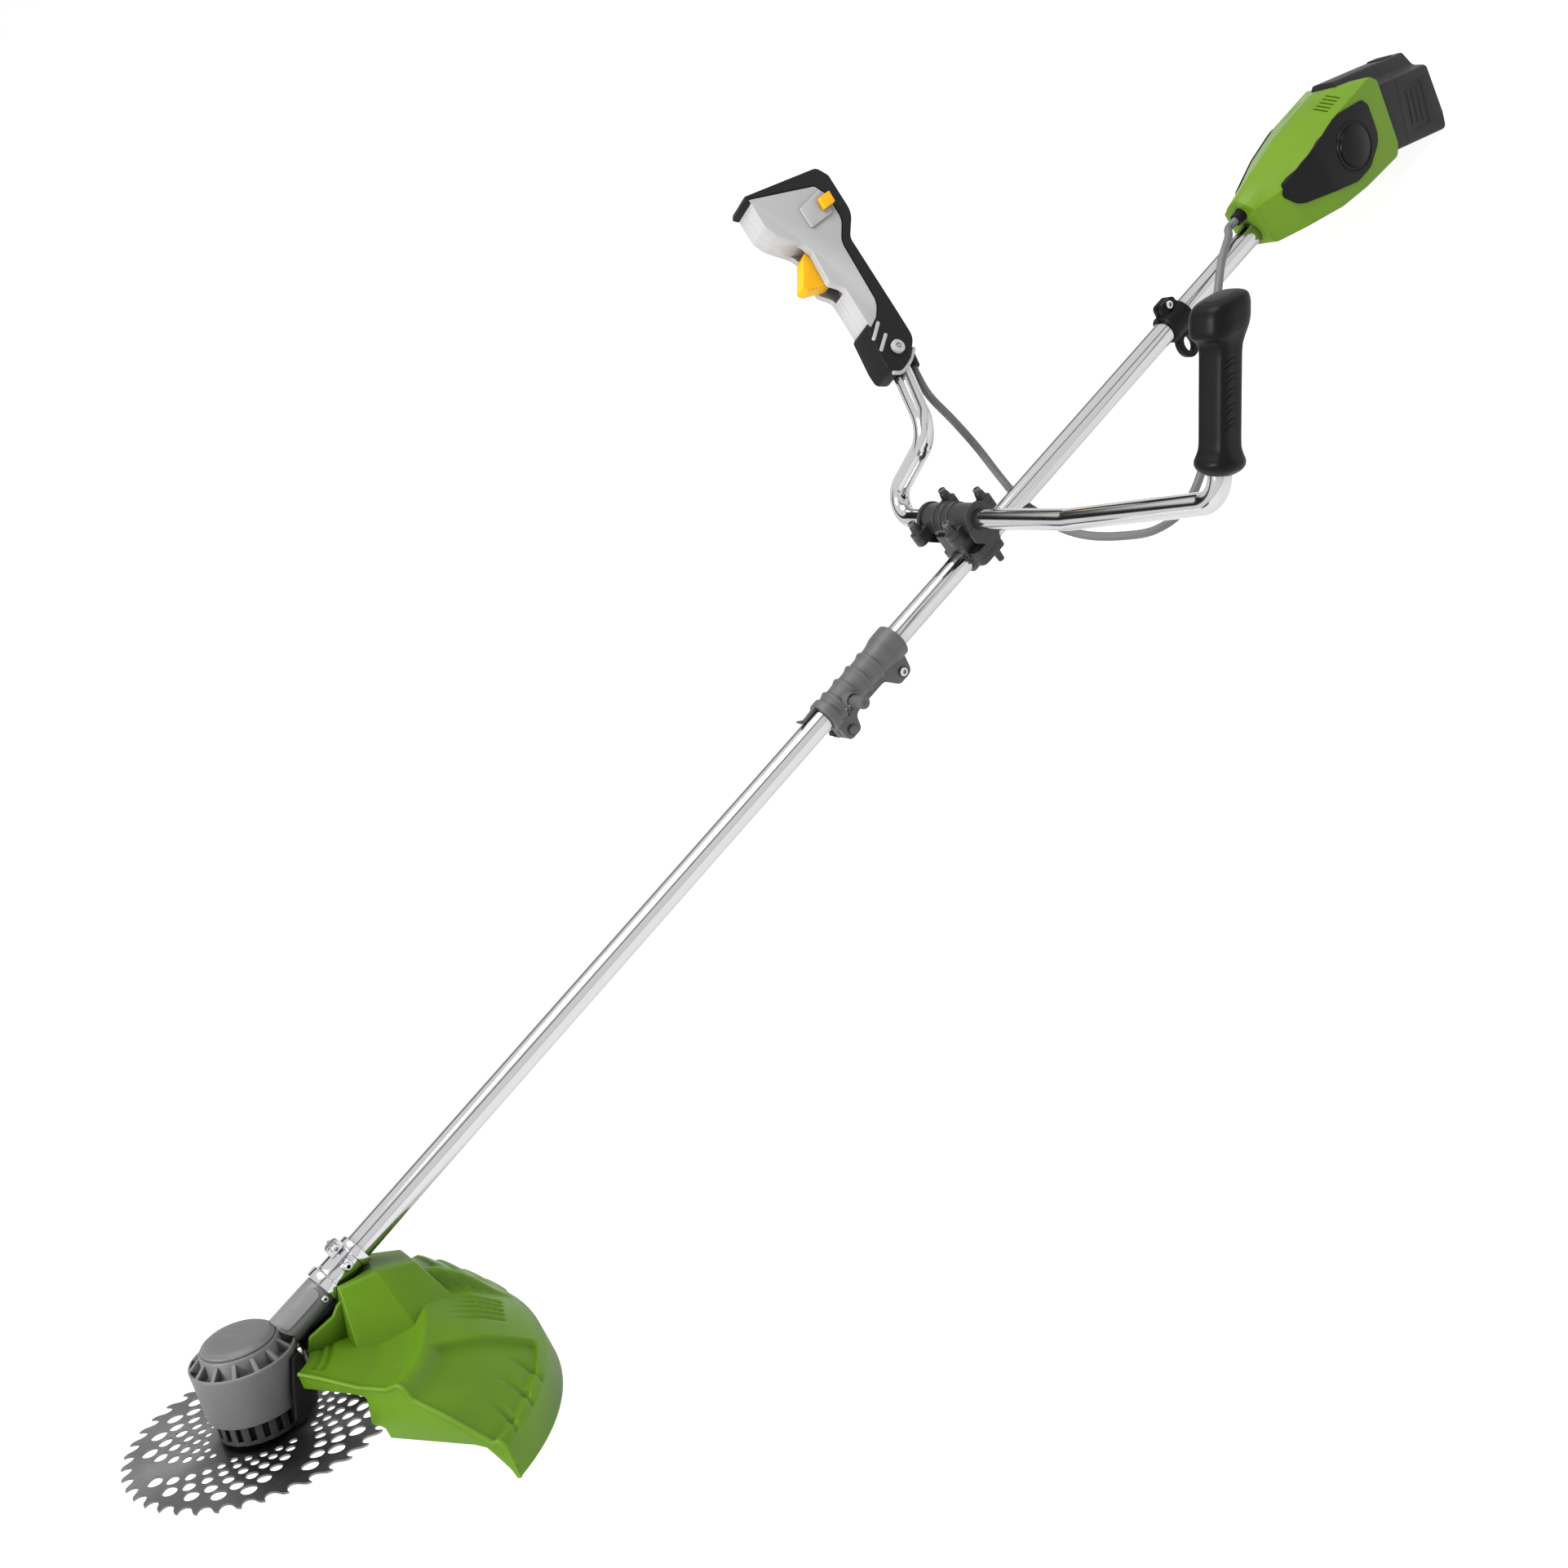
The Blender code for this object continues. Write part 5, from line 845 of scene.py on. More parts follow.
def make_blade():
    top, under = BLADE_PLANE + BLADE_HALF, BLADE_PLANE - BLADE_HALF - 0.3
    disc = link("blade_disc", prism(tooth_outline(), BLADE_PLANE - BLADE_HALF, top), HEAD)
    low, high = BLADE_PLANE - 2 * BLADE_HALF, BLADE_PLANE + 2 * BLADE_HALF
    holes = [prism(loop, low, high) for loop in hole_outlines()]
    cut(disc, merged(*holes, drill(BLADE_BORE, low, high)))
    rounded(disc, 0.25, 1, 60)
    finished(disc, "blade", "cutting_set", "blade", 30)
    flange = [(13, top + 0.3), (21.4, top + 0.3), (22, top + 0.9), (22, top + 2.2), (21.4, top + 2.7),
              (8, top + 2.7)]
    piece("drive_flange", turned(flange, 72), HEAD, "steel", "cutting_set", "inner_flange")
    cup = [(5.3, under - 4.2), (15, under - 4.2), (16, under - 4), (19.6, under - 2.2), (20, under - 1.4),
           (20, under - 0.3), (19.6, under), (12, under)]
    piece("clamp_cup", turned(cup, 72), HEAD, "steel", "cutting_set", "outer_flange")
    nut_top = under - 4.5
    nut = [(5.2, nut_top - 8.5), (8.6, nut_top - 9), (9.7, nut_top - 8.2), (9.7, nut_top - 0.4),
           (9.2, nut_top), (5.2, nut_top)]
    piece("left_hand_nut", turned(nut, 6), HEAD, "steel", "cutting_set", "blade_nut", 0.4, 2)


# Motor head

DRUM = [(41.2, -29.5), (44.1, -29.5), (44.6, -28.9), (47.8, 17.2), (48, 18.6), (47.7, 19.7), (46.6, 20.4),
        (45.6, 20), (45.3, 17), (43.5, 15.5), (38, 16), (36.6, 17.5), (35.9, 29.6), (35.2, 30.9),
        (34.2, 31.3), (31.6, 31.2), (31.6, 28)]
DRUM_RIBS = 14
DRUM_RIB_HALF = 2.1
CAP = [(33.3, 31.5), (33.5, 32), (33.5, 33.2), (33.1, 33.9), (31.6, 34.6), (30.9, 35.1), (29.6, 36.2),
       (28.4, 36.7), (20, 37.2), (10, 37.45), (0, 37.5)]
CAP_BAR_TURN = math.radians(38)
SKIRT_BARS = 20
SKIRT_BAR = [(34, -3.1), (39.4, -3.4), (39.4, 3.4), (34, 3.1)]
SKIRT_RING = [(34, -50), (38.6, -50), (39.4, -49.2), (39.4, -46.6), (38.8, -46), (34, -46), (34, -50)]
NECK = [(12, 18), (16.9, 18), (16.4, 60), (16.1, 80), (15.8, 94), (15.2, 94.9), (12, 94.9), (12, 18)]
NECK_HOLLOW = [(0, 0), (44.7, 0), (48.3, 18.6), (48.3, 20.2), (34.4, 31.4), (34.4, 33.2), (29, 36.6),
               (20, 37.2), (0, 37.6)]
NECK_BOSS_Y = 47
NECK_BOSS_TURN = math.radians(52)
NECK_SCREW = (90, -1)


def make_drum():
    half = DRUM_RIB_HALF
    ribs = []
    for turn in turns(DRUM_RIBS):
        low = [(34, -half - 0.3, 14), (47, -half - 0.5, 14), (47, half + 0.5, 14), (34, half + 0.3, 14)]
        high = [(34, -half, 30.4), (46.6, -half + 0.2, 20.2), (46.6, half - 0.2, 20.2), (34, half, 30.4)]
        ribs.append(placed(loft([low, high]), rotation=(0, 0, turn)))
    body = link("drum_shell", turned(DRUM, 168), HEAD)
    webs = rounded(link("drum_ribs", merged(*ribs), HEAD), 0.7)
    finished(joined("drum_shell", [body, webs]), "drum", "front_unit", "motor_housing", 40)
    piece("drum_cap", turned(CAP, 120), HEAD, "drum", "front_unit", "motor_cap", smooth=50)
    piece("cap_relief", box((-13, -1.1, 36.6), (13, 1.1, 37.5)), at(HEAD, turn=CAP_BAR_TURN, axis="Z"),
          "drum", "front_unit", edge=0.4, segments=2)


def make_skirt():
    """Upright bars round a black sleeve, under a plain ring; the sleeve's black paints the shade deep in the slots
    between the bars.
    """
    outline = rounded_outline(SKIRT_BAR, 0.6, 3)
    bars = [placed(prism(outline, -49.4, -30), rotation=(0, 0, turn)) for turn in turns(SKIRT_BARS)]
    piece("drum_skirt", merged(turned(SKIRT_RING, 120), *bars), HEAD, "skirt", "front_unit", "motor_skirt")
    # Painted shade: a black sleeve just behind the bars stands in for the dark of deep slots.
    slot_shade = turned([(35.2, -48), (36, -47.6), (36, -30.2), (35.2, -30)])
    piece("skirt_slot_shade", slot_shade, HEAD, "rubber", "front_unit")


def make_neck():
    neck = link("neck_casting", turned(NECK), SHAFT)
    cut(neck, turned(NECK_HOLLOW), HEAD)
    finished(neck, "neck", "front_unit", "neck")
    outline = rounded_outline(rectangle(-6.5, 0, 6.5, 44), 6, 6)
    piece("neck_relief", prism(outline, 12, 17.2), at(TOOL, (0, NECK_BOSS_Y, 0), NECK_BOSS_TURN, "Y"),
          "neck", "front_unit", edge=0.5)
    piece("neck_screw", across(rod(3.4, 14, 18.2, 32, edge=0.8), *NECK_SCREW), TOOL, "steel", "front_unit")
    # Painted shade: a black hexagon on the screw's head stands in for the dark inside its socket.
    piece("screw_socket_shade", across(rod(1.5, 16, 18.5, 6, edge=0.1), *NECK_SCREW), TOOL, "black", "front_unit")


# Bracket, clamping sleeve, tubes and coupler

SHADE_SHIELD_TOP = [(20, -41), (22, -34), (29, -9), (40, 14), (60, 12), (90, 8), (120, -20)]
BRACKET_SCREWS = [(27.5, 42.6, 11), (0, 52.4, -1.5)]
GUARD_BOLT_Y = 91.3
SLEEVE_LOW = 95.3
SLEEVE_TOP = 142.3
SLEEVE_BORE = 13.3
PINCH = (128.2, 20.1)
SLEEVE_LUG = (124, 4)
TUBE_BORE = 11.5
COUPLER_LOW = 824
COUPLER_HIGH = 940
COUPLER_RINGS = 4
RING_PITCH = 19
LOW_LUG = 838
HIGH_LUG = 922
LUG_Z = -28
LUG_BOLT_R = 2.9
KEEL_Z = -19.5
PLUNGER_Y = 852
CATCH = [(829, 13.6), (829, 17.4), (806, 16), (800.5, 20.4), (798.4, 19.6), (801, 15.4), (805, 13.6)]
HAND_KNOB = [(0, -26), (8.4, -26), (9.6, -25.6), (10.6, -24.6), (11, -23.6), (11, -13.4), (10.4, -12.6),
             (7, -9.6), (2.6, -9.4), (2.6, 9.3), (0, 9.3)]
KNOB_LOBES = 12
PLUNGER = [(0, 10.8), (3.3, 10.8), (3.3, 24.6), (5.6, 24.6), (6.6, 25.2), (6.8, 26), (6.8, 42), (6.4, 43.4),
           (5, 44.5), (2.6, 44.5), (2.2, 44.1), (0, 44)]


def head_to_tool(y, z):
    return (y * math.cos(BLADE_ANGLE) + z * math.sin(BLADE_ANGLE),
            -y * math.sin(BLADE_ANGLE) + z * math.cos(BLADE_ANGLE))


def make_bracket():
    """A black arm from under the neck that turns down round the back of the drum; the shield round the drum's back
    is partly that bracket and partly black that paints the shade on the drum's far side.
    """
    rings = []
    # Painted shade: the shield reaches round the drum further than the bracket, as black standing in for the
    # drum's shaded side.
    for degrees in spread(20, 120, 50):
        top = between(degrees, SHADE_SHIELD_TOP)
        section = [(49.2, -43), (52.4, -43), (52.6, -40), (52.6, top - 2), (52, top), (49.2, top)]
        rings.append([(*polar(r, math.radians(degrees)), z) for r, z in section])
    piece("bracket_shield_and_shade", loft(rings), HEAD, "black", "front_unit", edge=0.6, segments=2)
    outline = [head_to_tool(49.4, -20), head_to_tool(49.4, 4), (50, -17.6), (104.3, -19.6), (104.3, -23.2),
               (60, -23.2), (54, -24.5), head_to_tool(52.3, 0), head_to_tool(52.3, -20)]
    piece("bracket_arm", slab(outline, -12, 12), TOOL, "black", "front_unit", "guard_bracket", 1.2)
    piece("bracket_rib", box((-3, 51.4, -38), (3, 54.6, -4)), HEAD, "black", "front_unit", edge=1)
    for place in BRACKET_SCREWS:
        screw = lengthways(rod(3.6, -2, 2.2, 36, edge=0.7), place)
        piece("bracket_screw", screw, HEAD, "steel", "front_unit")
    hexagon = turned([(5, -32.2), (5, -24), (4.4, -23.5), (0, -23.5)], 6)
    piece("guard_bolt_head", hexagon, at(TOOL, (0, GUARD_BOLT_Y, 0)), "black", "front_unit", "guard_bolt",
          0.5, 2)


def sleeve_profile():
    low, top = SLEEVE_LOW, SLEEVE_TOP
    return [(SLEEVE_BORE, low), (18.4, low), (19, low + 0.6), (19, low + 9.4), (18.5, low + 10),
            (16.6, low + 10.6), (15.8, low + 12), (15.6, low + 14), (15.6, top - 9), (16.6, top - 8.4),
            (16.8, top - 7.5), (16.8, top - 1), (16, top), (SLEEVE_BORE, top), (SLEEVE_BORE, low)]


def make_sleeve():
    sleeve = link("sleeve_casting", turned(sleeve_profile()), SHAFT)
    ear = rounded_outline([(120, 12), (120, 23.6), (136, 23.6), (136, 12)], [0.5, 6, 6, 0.5], 6)
    for side in (-1, 1):
        cut(sleeve, slab(ear, 1.0, 5.4, side), TOOL, "UNION")
    cut(sleeve, box((-0.9, 109, 8), (0.9, 144, 30)), TOOL)
    cut(sleeve, across(drill(LUG_BOLT_R, -12, 12, 32), *PINCH), TOOL)
    cut(sleeve, across(rod(5.4, 10, 17.4, 40, edge=0.8), *SLEEVE_LUG), TOOL, "UNION")
    cut(sleeve, drill(SLEEVE_BORE, 90, 150, 96), SHAFT)
    rounded(sleeve, 0.35, 2, 40)
    finished(sleeve, "chrome", "front_unit", "shaft_clamp", 40)
    piece("pinch_bolt", across(bolt(2.5, -7, 5.6, 3.9, 9), *PINCH), TOOL, "steel", "front_unit", "clamp_bolt")
    nut = turned([(0, -8.6), (3.8, -8.6), (4.2, -8), (4.2, -5.6), (0, -5.6)], 6)
    piece("pinch_nut", across(nut, *PINCH), TOOL, "steel", "front_unit")
    piece("sleeve_screw", across(bolt(2, 8, 17.5, 3.6, 19.4), *SLEEVE_LUG), TOOL, "steel", "front_unit")


def make_tubes():
    lower = link("shaft_tube_lower", rod(TUBE_R, 58.3, 884, 128, TUBE_BORE, 0.3), SHAFT)
    cut(lower, box((5, 847.5, -4.5), (20, 890, 4.5)), TOOL)
    finished(lower, "tube", "front_unit", "lower_tube", 30)
    piece("shaft_tube_upper", rod(TUBE_R, 886, 1642, 128, TUBE_BORE, 0.3), SHAFT, "tube", "tool",
          "upper_tube", smooth=30)


def coupler_profile():
    valley, ridge, bore = 16.0, 18.4, 12.8
    low, high = COUPLER_LOW, COUPLER_HIGH
    outline = [(bore, low), (17.6, low), (18.3, low + 0.7), (18.7, low + 5), (18.4, low + 9.4),
               (17.4, low + 9.8), (valley, low + 10)]
    for step in range(COUPLER_RINGS):
        middle = low + (step + 1) * RING_PITCH
        outline += [(valley + 0.3, middle - 6), (valley + 1.0, middle - 3), (ridge - 0.5, middle - 0.6),
                    (ridge, middle + 0.3), (ridge - 0.1, middle + 1.4), (ridge - 0.6, middle + 1.9),
                    (valley, middle + 2.2)]
    return outline + [(valley + 0.8, high - 28), (ridge + 0.7, high - 19), (ridge + 1.2, high - 12),
                      (ridge + 1.2, high - 1.2), (ridge + 0.4, high - 0.2), (ridge - 0.4, high), (bore, high)]


def keel_outline():
    under = LUG_Z - 8
    return rounded_outline([(COUPLER_LOW + 3, -8), (COUPLER_LOW + 4, under), (LOW_LUG + 9, under),
                            (LOW_LUG + 14, KEEL_Z), (HIGH_LUG - 22, KEEL_Z), (HIGH_LUG - 11, under),
                            (HIGH_LUG + 9, under), (COUPLER_HIGH - 3, -8)], [2, 8, 7, 9, 12, 9, 9, 2], 8)


def lobed(angle, r):
    """The hand knob's grip is scalloped; its boss and shank are round."""
    return r * (1 - 0.07 * (1 + math.cos(angle * KNOB_LOBES))) if r > 8 else r


def make_coupler():
    body = link("coupler_casting", turned(coupler_profile(), 120), SHAFT)
    cut(body, slab(keel_outline(), -9, 9), TOOL, "UNION")
    cut(body, across(rod(9.5, 8, 24, 56, edge=0.8), PLUNGER_Y, 0), TOOL, "UNION")
    cut(body, drill(13.3, 800, 950, 96), SHAFT)
    cut(body, box((-0.8, COUPLER_LOW - 1, -40), (0.8, HIGH_LUG - 26, -10)), TOOL)
    well = turned([(0, 5), (3.8, 5), (3.8, 18), (7.6, 18), (7.6, 30), (0, 30)], 48)
    cut(body, across(well, PLUNGER_Y, 0), TOOL)
    cut(body, box((9, PLUNGER_Y - 9.8, -13), (26, PLUNGER_Y + 1, -2)), TOOL)
    for station in (LOW_LUG, HIGH_LUG):
        cut(body, across(drill(LUG_BOLT_R, -12, 12, 32), station, LUG_Z), TOOL)
        ring = turned([(4.9, 8.4), (6.3, 8.4), (6.3, 9.5), (4.9, 9.5), (4.9, 8.4)], 48)
        cut(body, across(ring, station, LUG_Z), TOOL)
    rounded(body, 0.5, 2, 38)
    finished(body, "coupler", "tool", "coupler_body", 42)
    piece("coupler_catch", slab(rounded_outline(CATCH, [0.2, 0.8, 3, 0.9, 0.9, 3, 2]), -2.2, 2.2), TOOL,
          "coupler", "tool", edge=0.5)
    piece("lug_screw", across(bolt(2.6, -9, 9.3, 4.6, 12), HIGH_LUG, LUG_Z), TOOL, "steel", "tool",
          "coupler_screw")
    piece("clamp_hand_knob", turned(HAND_KNOB, 96, lobed), at(TOOL, (0, LOW_LUG, LUG_Z), QUARTER, "Y"),
          "black", "knob", "clamp_knob")
    nut = turned([(0, 9.3), (4.4, 9.3), (4.5, 11.8), (3.8, 12.5), (0, 12.5)], 48)
    piece("knob_nut", across(nut, LOW_LUG, LUG_Z), TOOL, "coupler", "knob")
    piece("pull_plunger", turned(PLUNGER, 72), at(TOOL, (0, PLUNGER_Y, 0), QUARTER, "Y"), "coupler",
          "plunger", "lock_plunger")


# Handlebar and its clamp

BAR_BENDS = [32, 22, 60, 26]
CLAMP_LONG = 48
CLAMP_SHORT = 38
CLAMP_RIBS = (-12, 0, 12)
BARREL_R = 17
CLAMP_EDGE = 0.8
CLAMP_REACH = 60
CAP_BOLT_X = 30
CAP_BOLT_Y = 26
SADDLE_BOLT_X = 22
STUD = [(0, -22), (3, -22), (3.6, -21.4), (4.2, -12), (5.4, -9.3), (3, -9.2), (3, 12), (0, 12)]
STUD_NUT = [(0, 9.1), (5.4, 9.1), (5.8, 9.5), (5.8, 12.4), (5.2, 13), (0, 13)]
PLATE = [(-19, 0), (-19, -16), (-6, -29), (8, -29), (19, -16), (19, 0)]
GUSSET = [(16, 8), (28, 8), (37, 26), (37, 32), (16, 32)]


def make_handlebar():
    base, grip = Vector(HANDLE_BASE), Vector(GRIP_BASE)
    lean = Vector((-math.sin(HANDLE_LEAN), math.cos(HANDLE_LEAN), 0))
    along = Vector((math.sin(GRIP_LEAN), math.cos(GRIP_LEAN), 0))
    corners = [base + lean * 44, base - lean * 92, (-126, 0, 0), (185, 0, 0), grip - along * 24,
               grip + along * 118]
    path = rounded_path(corners, BAR_BENDS, 20)
    piece("handlebar_tube", swept(path, [BAR_R] * len(path), 96), BAR, "tube", "tool", "handlebar", smooth=30)


def clamp_shapes(upper):
    """The barrel round the bar with its end rings and bolt ears, for the cap or the base."""
    shapes = [across(rod(BARREL_R, -CLAMP_SHORT, CLAMP_LONG, 96, edge=0.8), BAR_Y, BAR_Z)]
    for side in (-1, 1):
        x = side * CAP_BOLT_X
        ear = rounded_outline(rectangle(x - 7, BAR_Y - 34, x + 7, BAR_Y + 34), 5, 6)
        shapes.append(prism(ear, BAR_Z - 9, BAR_Z + 6))
        start = CLAMP_LONG - 2.5 if side > 0 else 2.5 - CLAMP_SHORT
        ring = turned([(10, start - 2.5), (18.6, start - 2.5), (18.6, start + 2.3), (10, start + 2.3),
                       (10, start - 2.5)])
        shapes.append(across(ring, BAR_Y, BAR_Z))
        for reach in (-CAP_BOLT_Y, CAP_BOLT_Y) if upper else ():
            boss = turned([(0, BAR_Z - 1), (6.8, BAR_Z + 3), (6.2, BAR_Z + 6), (4.9, BAR_Z + 13.6),
                           (4.4, BAR_Z + 14), (0, BAR_Z + 14)], 40)
            shapes.append(placed(boss, (x, BAR_Y + reach, 0)))
    for x in CLAMP_RIBS if upper else ():
        rib = turned([(15, x - 1.8), (18.2, x - 1.2), (18.2, x + 1.2), (15, x + 1.8), (15, x - 1.8)])
        shapes.append(across(rib, BAR_Y, BAR_Z))
    return shapes


def clamp_block(low, high):
    """What cuts a part of the clamp off above or below a level."""
    return box((-CLAMP_REACH, BAR_Y - CLAMP_REACH, low), (CLAMP_REACH, BAR_Y + CLAMP_REACH, high)), TOOL


def clamp_foot(half, low, high):
    outline = rectangle(-half, BAR_Y - half + 13, half, BAR_Y + half - 9)
    return prism(rounded_outline(outline, 7, 6), low, high)


def make_bar_clamp():
    bar_hole = (across(drill(BAR_R + FREE, -CLAMP_REACH, CLAMP_REACH), BAR_Y, BAR_Z), TOOL)
    tube_hole = (drill(TUBE_R + FREE, BAR_Y - CLAMP_REACH, BAR_Y + CLAMP_REACH), SHAFT)

    below = clamp_block(BAR_Z - CLAMP_REACH, BAR_Z + FREE)
    cap = carved("bar_clamp_cap", clamp_shapes(True), [below, bar_hole], CLAMP_EDGE)
    finished(cap, "clamp", "tool", "clamp_cap")

    shapes = clamp_shapes(False)
    shapes.append(box((-17, BAR_Y - 19, 3), (17, BAR_Y + 24, 34)))
    shapes.append(clamp_foot(30, FREE, 9))
    plate = rounded_outline([(BAR_Y + y, BAR_Z + z) for y, z in PLATE], [1, 4, 4, 4, 4, 1])
    for side, reach in ((-1, CLAMP_SHORT), (1, CLAMP_LONG)):
        shapes.append(slab(plate, reach - 4, reach - 0.5, side))
        shapes.append(prism([(side * x, z) for x, z in GUSSET], BAR_Y - 2, BAR_Y + 2, "xzy"))
    above = clamp_block(BAR_Z - FREE, BAR_Z + CLAMP_REACH)
    base = carved("bar_clamp_base", shapes, [above, bar_hole, tube_hole], CLAMP_EDGE)
    finished(base, "clamp", "tool", "clamp_base")

    shapes = [lengthways(rod(BARREL_R, BAR_Y - 17, BAR_Y + 21, 96, edge=1)), clamp_foot(29, -9, -FREE)]
    saddle = carved("bar_clamp_saddle", shapes, [clamp_block(-FREE, CLAMP_REACH), tube_hole], CLAMP_EDGE)
    finished(saddle, "clamp", "tool", "shaft_saddle")

    for count, side in enumerate((-1, 1), 1):
        spot = at(TOOL, (side * SADDLE_BOLT_X, BAR_Y + 8, 0))
        piece("saddle_stud", turned(STUD, 40), spot, "clamp", "tool", "saddle_bolt_%d" % count)
        piece("saddle_nut", turned(STUD_NUT, 6), spot, "clamp", "tool")
    corners = [(x, y) for x in (-CAP_BOLT_X, CAP_BOLT_X) for y in (-CAP_BOLT_Y, CAP_BOLT_Y)]
    for count, (x, y) in enumerate(corners, 1):
        piece("cap_screw", bolt(2.5, -10, 14.3, 4.2, 18.5), at(TOOL, (x, BAR_Y + y, BAR_Z)), "coupler",
              "tool", "cap_bolt_%d" % count)


# Left grip: along it, half width to the side, half width forwards, shift forwards, squareness

GRIP_PROFILE = [(0, 12, 12, 0, 2.2), (1.5, 15.5, 15.5, 0, 2.2), (4.5, 19.6, 19.6, 0, 2.3),
                (9, 21.6, 21.6, 0, 2.4), (13, 21, 21, 0, 2.6), (18, 17.8, 17.8, 0, 3.2),
                (23, 15.7, 15.7, 0, 4.2), (30, 15.2, 15.2, 0, 4.6), (104, 15.2, 15.2, 0, 4.6),
                (112, 15.6, 16.4, 0.1, 4.2), (118, 17.4, 20.2, 0.5, 3.8), (124, 20, 24.6, 0.8, 3.4),
                (130, 21, 26, 1, 3.2), (142, 20.8, 26, 1, 3.2), (148, 19.8, 24.8, 1, 3),
                (152, 17.5, 22, 1, 2.8), (154, 10, 14, 1, 2.4)]
GRIP_TURN = math.radians(-8)
GRIP_STEP = 0.5
GRIP_SIDES = 160
KNOB_SLANT = 0.3
GROOVES = [96, 83, 70, 57, 44]
GROOVE_LINE = [(14, 7.5), (2.4, 1), (2.4, -4), (13, 2.5)]
GROOVE_MIDDLE = 1.75
GROOVE_REACH = 7
GROOVE_DEPTH = 0.9


def softened(values, passes=24):
    for _ in range(passes):
        inner = [(a + 2 * b + c) / 4 for a, b, c in zip(values, values[1:], values[2:])]
        values = [values[0]] + inner + [values[-1]]
    return values


def line_distance(point, line):
    nearest = math.inf
    for start, end in zip(line, line[1:]):
        along = Vector(end) - Vector(start)
        share = (Vector(point) - Vector(start)).dot(along) / along.length_squared
        spot = Vector(start) + along * min(1.0, max(0.0, share))
        nearest = min(nearest, (Vector(point) - spot).length)
    return nearest


def grip_ring(y, half_x, half_z, shift, square):
    ring = []
    level = min(GROOVES, key=lambda middle: abs(y - middle - GROOVE_MIDDLE))
    grooved = abs(y - level - GROOVE_MIDDLE) < GROOVE_REACH
    for angle in turns(GRIP_SIDES):
        c, s = math.cos(angle), math.sin(angle)
        out = math.copysign(abs(c) ** (2 / square), c) * half_x
        over = math.copysign(abs(s) ** (2 / square), s) * half_z
        if grooved and out > half_x * 0.8:
            away = line_distance((half_z - over, y - level), GROOVE_LINE)
            out -= GROOVE_DEPTH * (1 - ease(away, 0.4, 1.1))
        x = out * math.cos(GRIP_TURN) - over * math.sin(GRIP_TURN)
        z = out * math.sin(GRIP_TURN) + over * math.cos(GRIP_TURN) + shift
        ring.append((x, y - KNOB_SLANT * ease(y, 106, 130) * z, z))
    return ring


def make_grip():
    stations = spread(0, GRIP_PROFILE[-1][0], int(GRIP_PROFILE[-1][0] / GRIP_STEP))
    columns = [softened([between(y, [(row[0], row[column]) for row in GRIP_PROFILE]) for y in stations])
               for column in (1, 2, 3, 4)]
    body = loft([grip_ring(*values) for values in zip(stations, *columns)])
    piece("left_hand_grip", body, GRIP, "rubber", "tool", "left_grip", smooth=50)


# Control handle, seen from the side: along the grip, to the front

SPINE = [(196, 115), (203, 112), (235, 8), (225, -4), (176, -13), (144, 3), (50, -15), (16, -21), (-8, -6),
         (-22, 12), (-20, 27), (-6, 30), (34, 32), (50, 17), (62, 10), (140, 21), (168, 8), (197, 14),
         (190, 100)]
SPINE_ROUND = [2, 3, 9, 8, 30, 16, 60, 22, 10, 10, 7, 7, 6, 20, 14, 40, 14, 8, 3]
SPINE_HALF = 16.6
SHELL = [(199, 109), (212, 20), (200, 8), (168, 3), (140, 16), (62, 5), (44, 14), (30, 28),
         (84, 38), (91, 54), (129, 58), (140, 65), (153, 93), (164, 103)]
SHELL_ROUND = [2, 6, 8, 26, 26, 26, 10, 3, 12, 5, 4, 14, 14, 10]
SHELL_HALF = 16
SHELL_EDGE = 7.5
TRIGGER = [(134, 40), (140, 50), (136, 60), (127, 68), (107, 76), (92, 83), (88, 77), (91, 60), (93, 46)]
TRIGGER_ROUND = [2, 4, 5, 12, 30, 2.5, 2.5, 8, 2]
PAD = [(183, 52), (206, 17), (176, 13), (158, 47)]
KNOB = [(191, 27), (200, 10), (186, 8), (177, 25)]
INLAYS = [((38, 15), (16.5, 31)), ((23, 12), (2.5, 28))]
BOSS = [(0, 15), (7.6, 15), (7.6, 20.4), (7, 21.2), (3.4, 21.4), (3.0, 20.2), (1.8, 20.2), (1.5, 21), (0, 21)]
LIP = [(0, 4, -17), (0, -8, -8), (0, -17, 2), (0, -23, 12), (0, -22.4, 22)]
LIP_X = 13.5
LIP_R = 2.2
COLLAR = [(5.7, -8), (6.6, -8), (7.4, -7), (7.4, 4.7), (5.7, 4.7), (5.7, -8)]
SIDES = ((1, "left"), (-1, "right"))


def handle_bar_hole():
    return lengthways(drill(BAR_R + FREE, -60, 45))


def soft_rim(half, level):
    """Round off the rim of a shell's flat outside over a wide radius, and no other edge."""
    weights = half.data.attributes.new("bevel_weight_edge", "FLOAT", "EDGE")
    for edge in half.data.edges:
        outside = all(abs(half.data.vertices[v].co.x - level) < 1e-6 for v in edge.vertices)
        weights.data[edge.index].value = 1.0 if outside else 0.0
    return modified(half, "BEVEL", width=SHELL_EDGE * MM, segments=8, limit_method="WEIGHT")


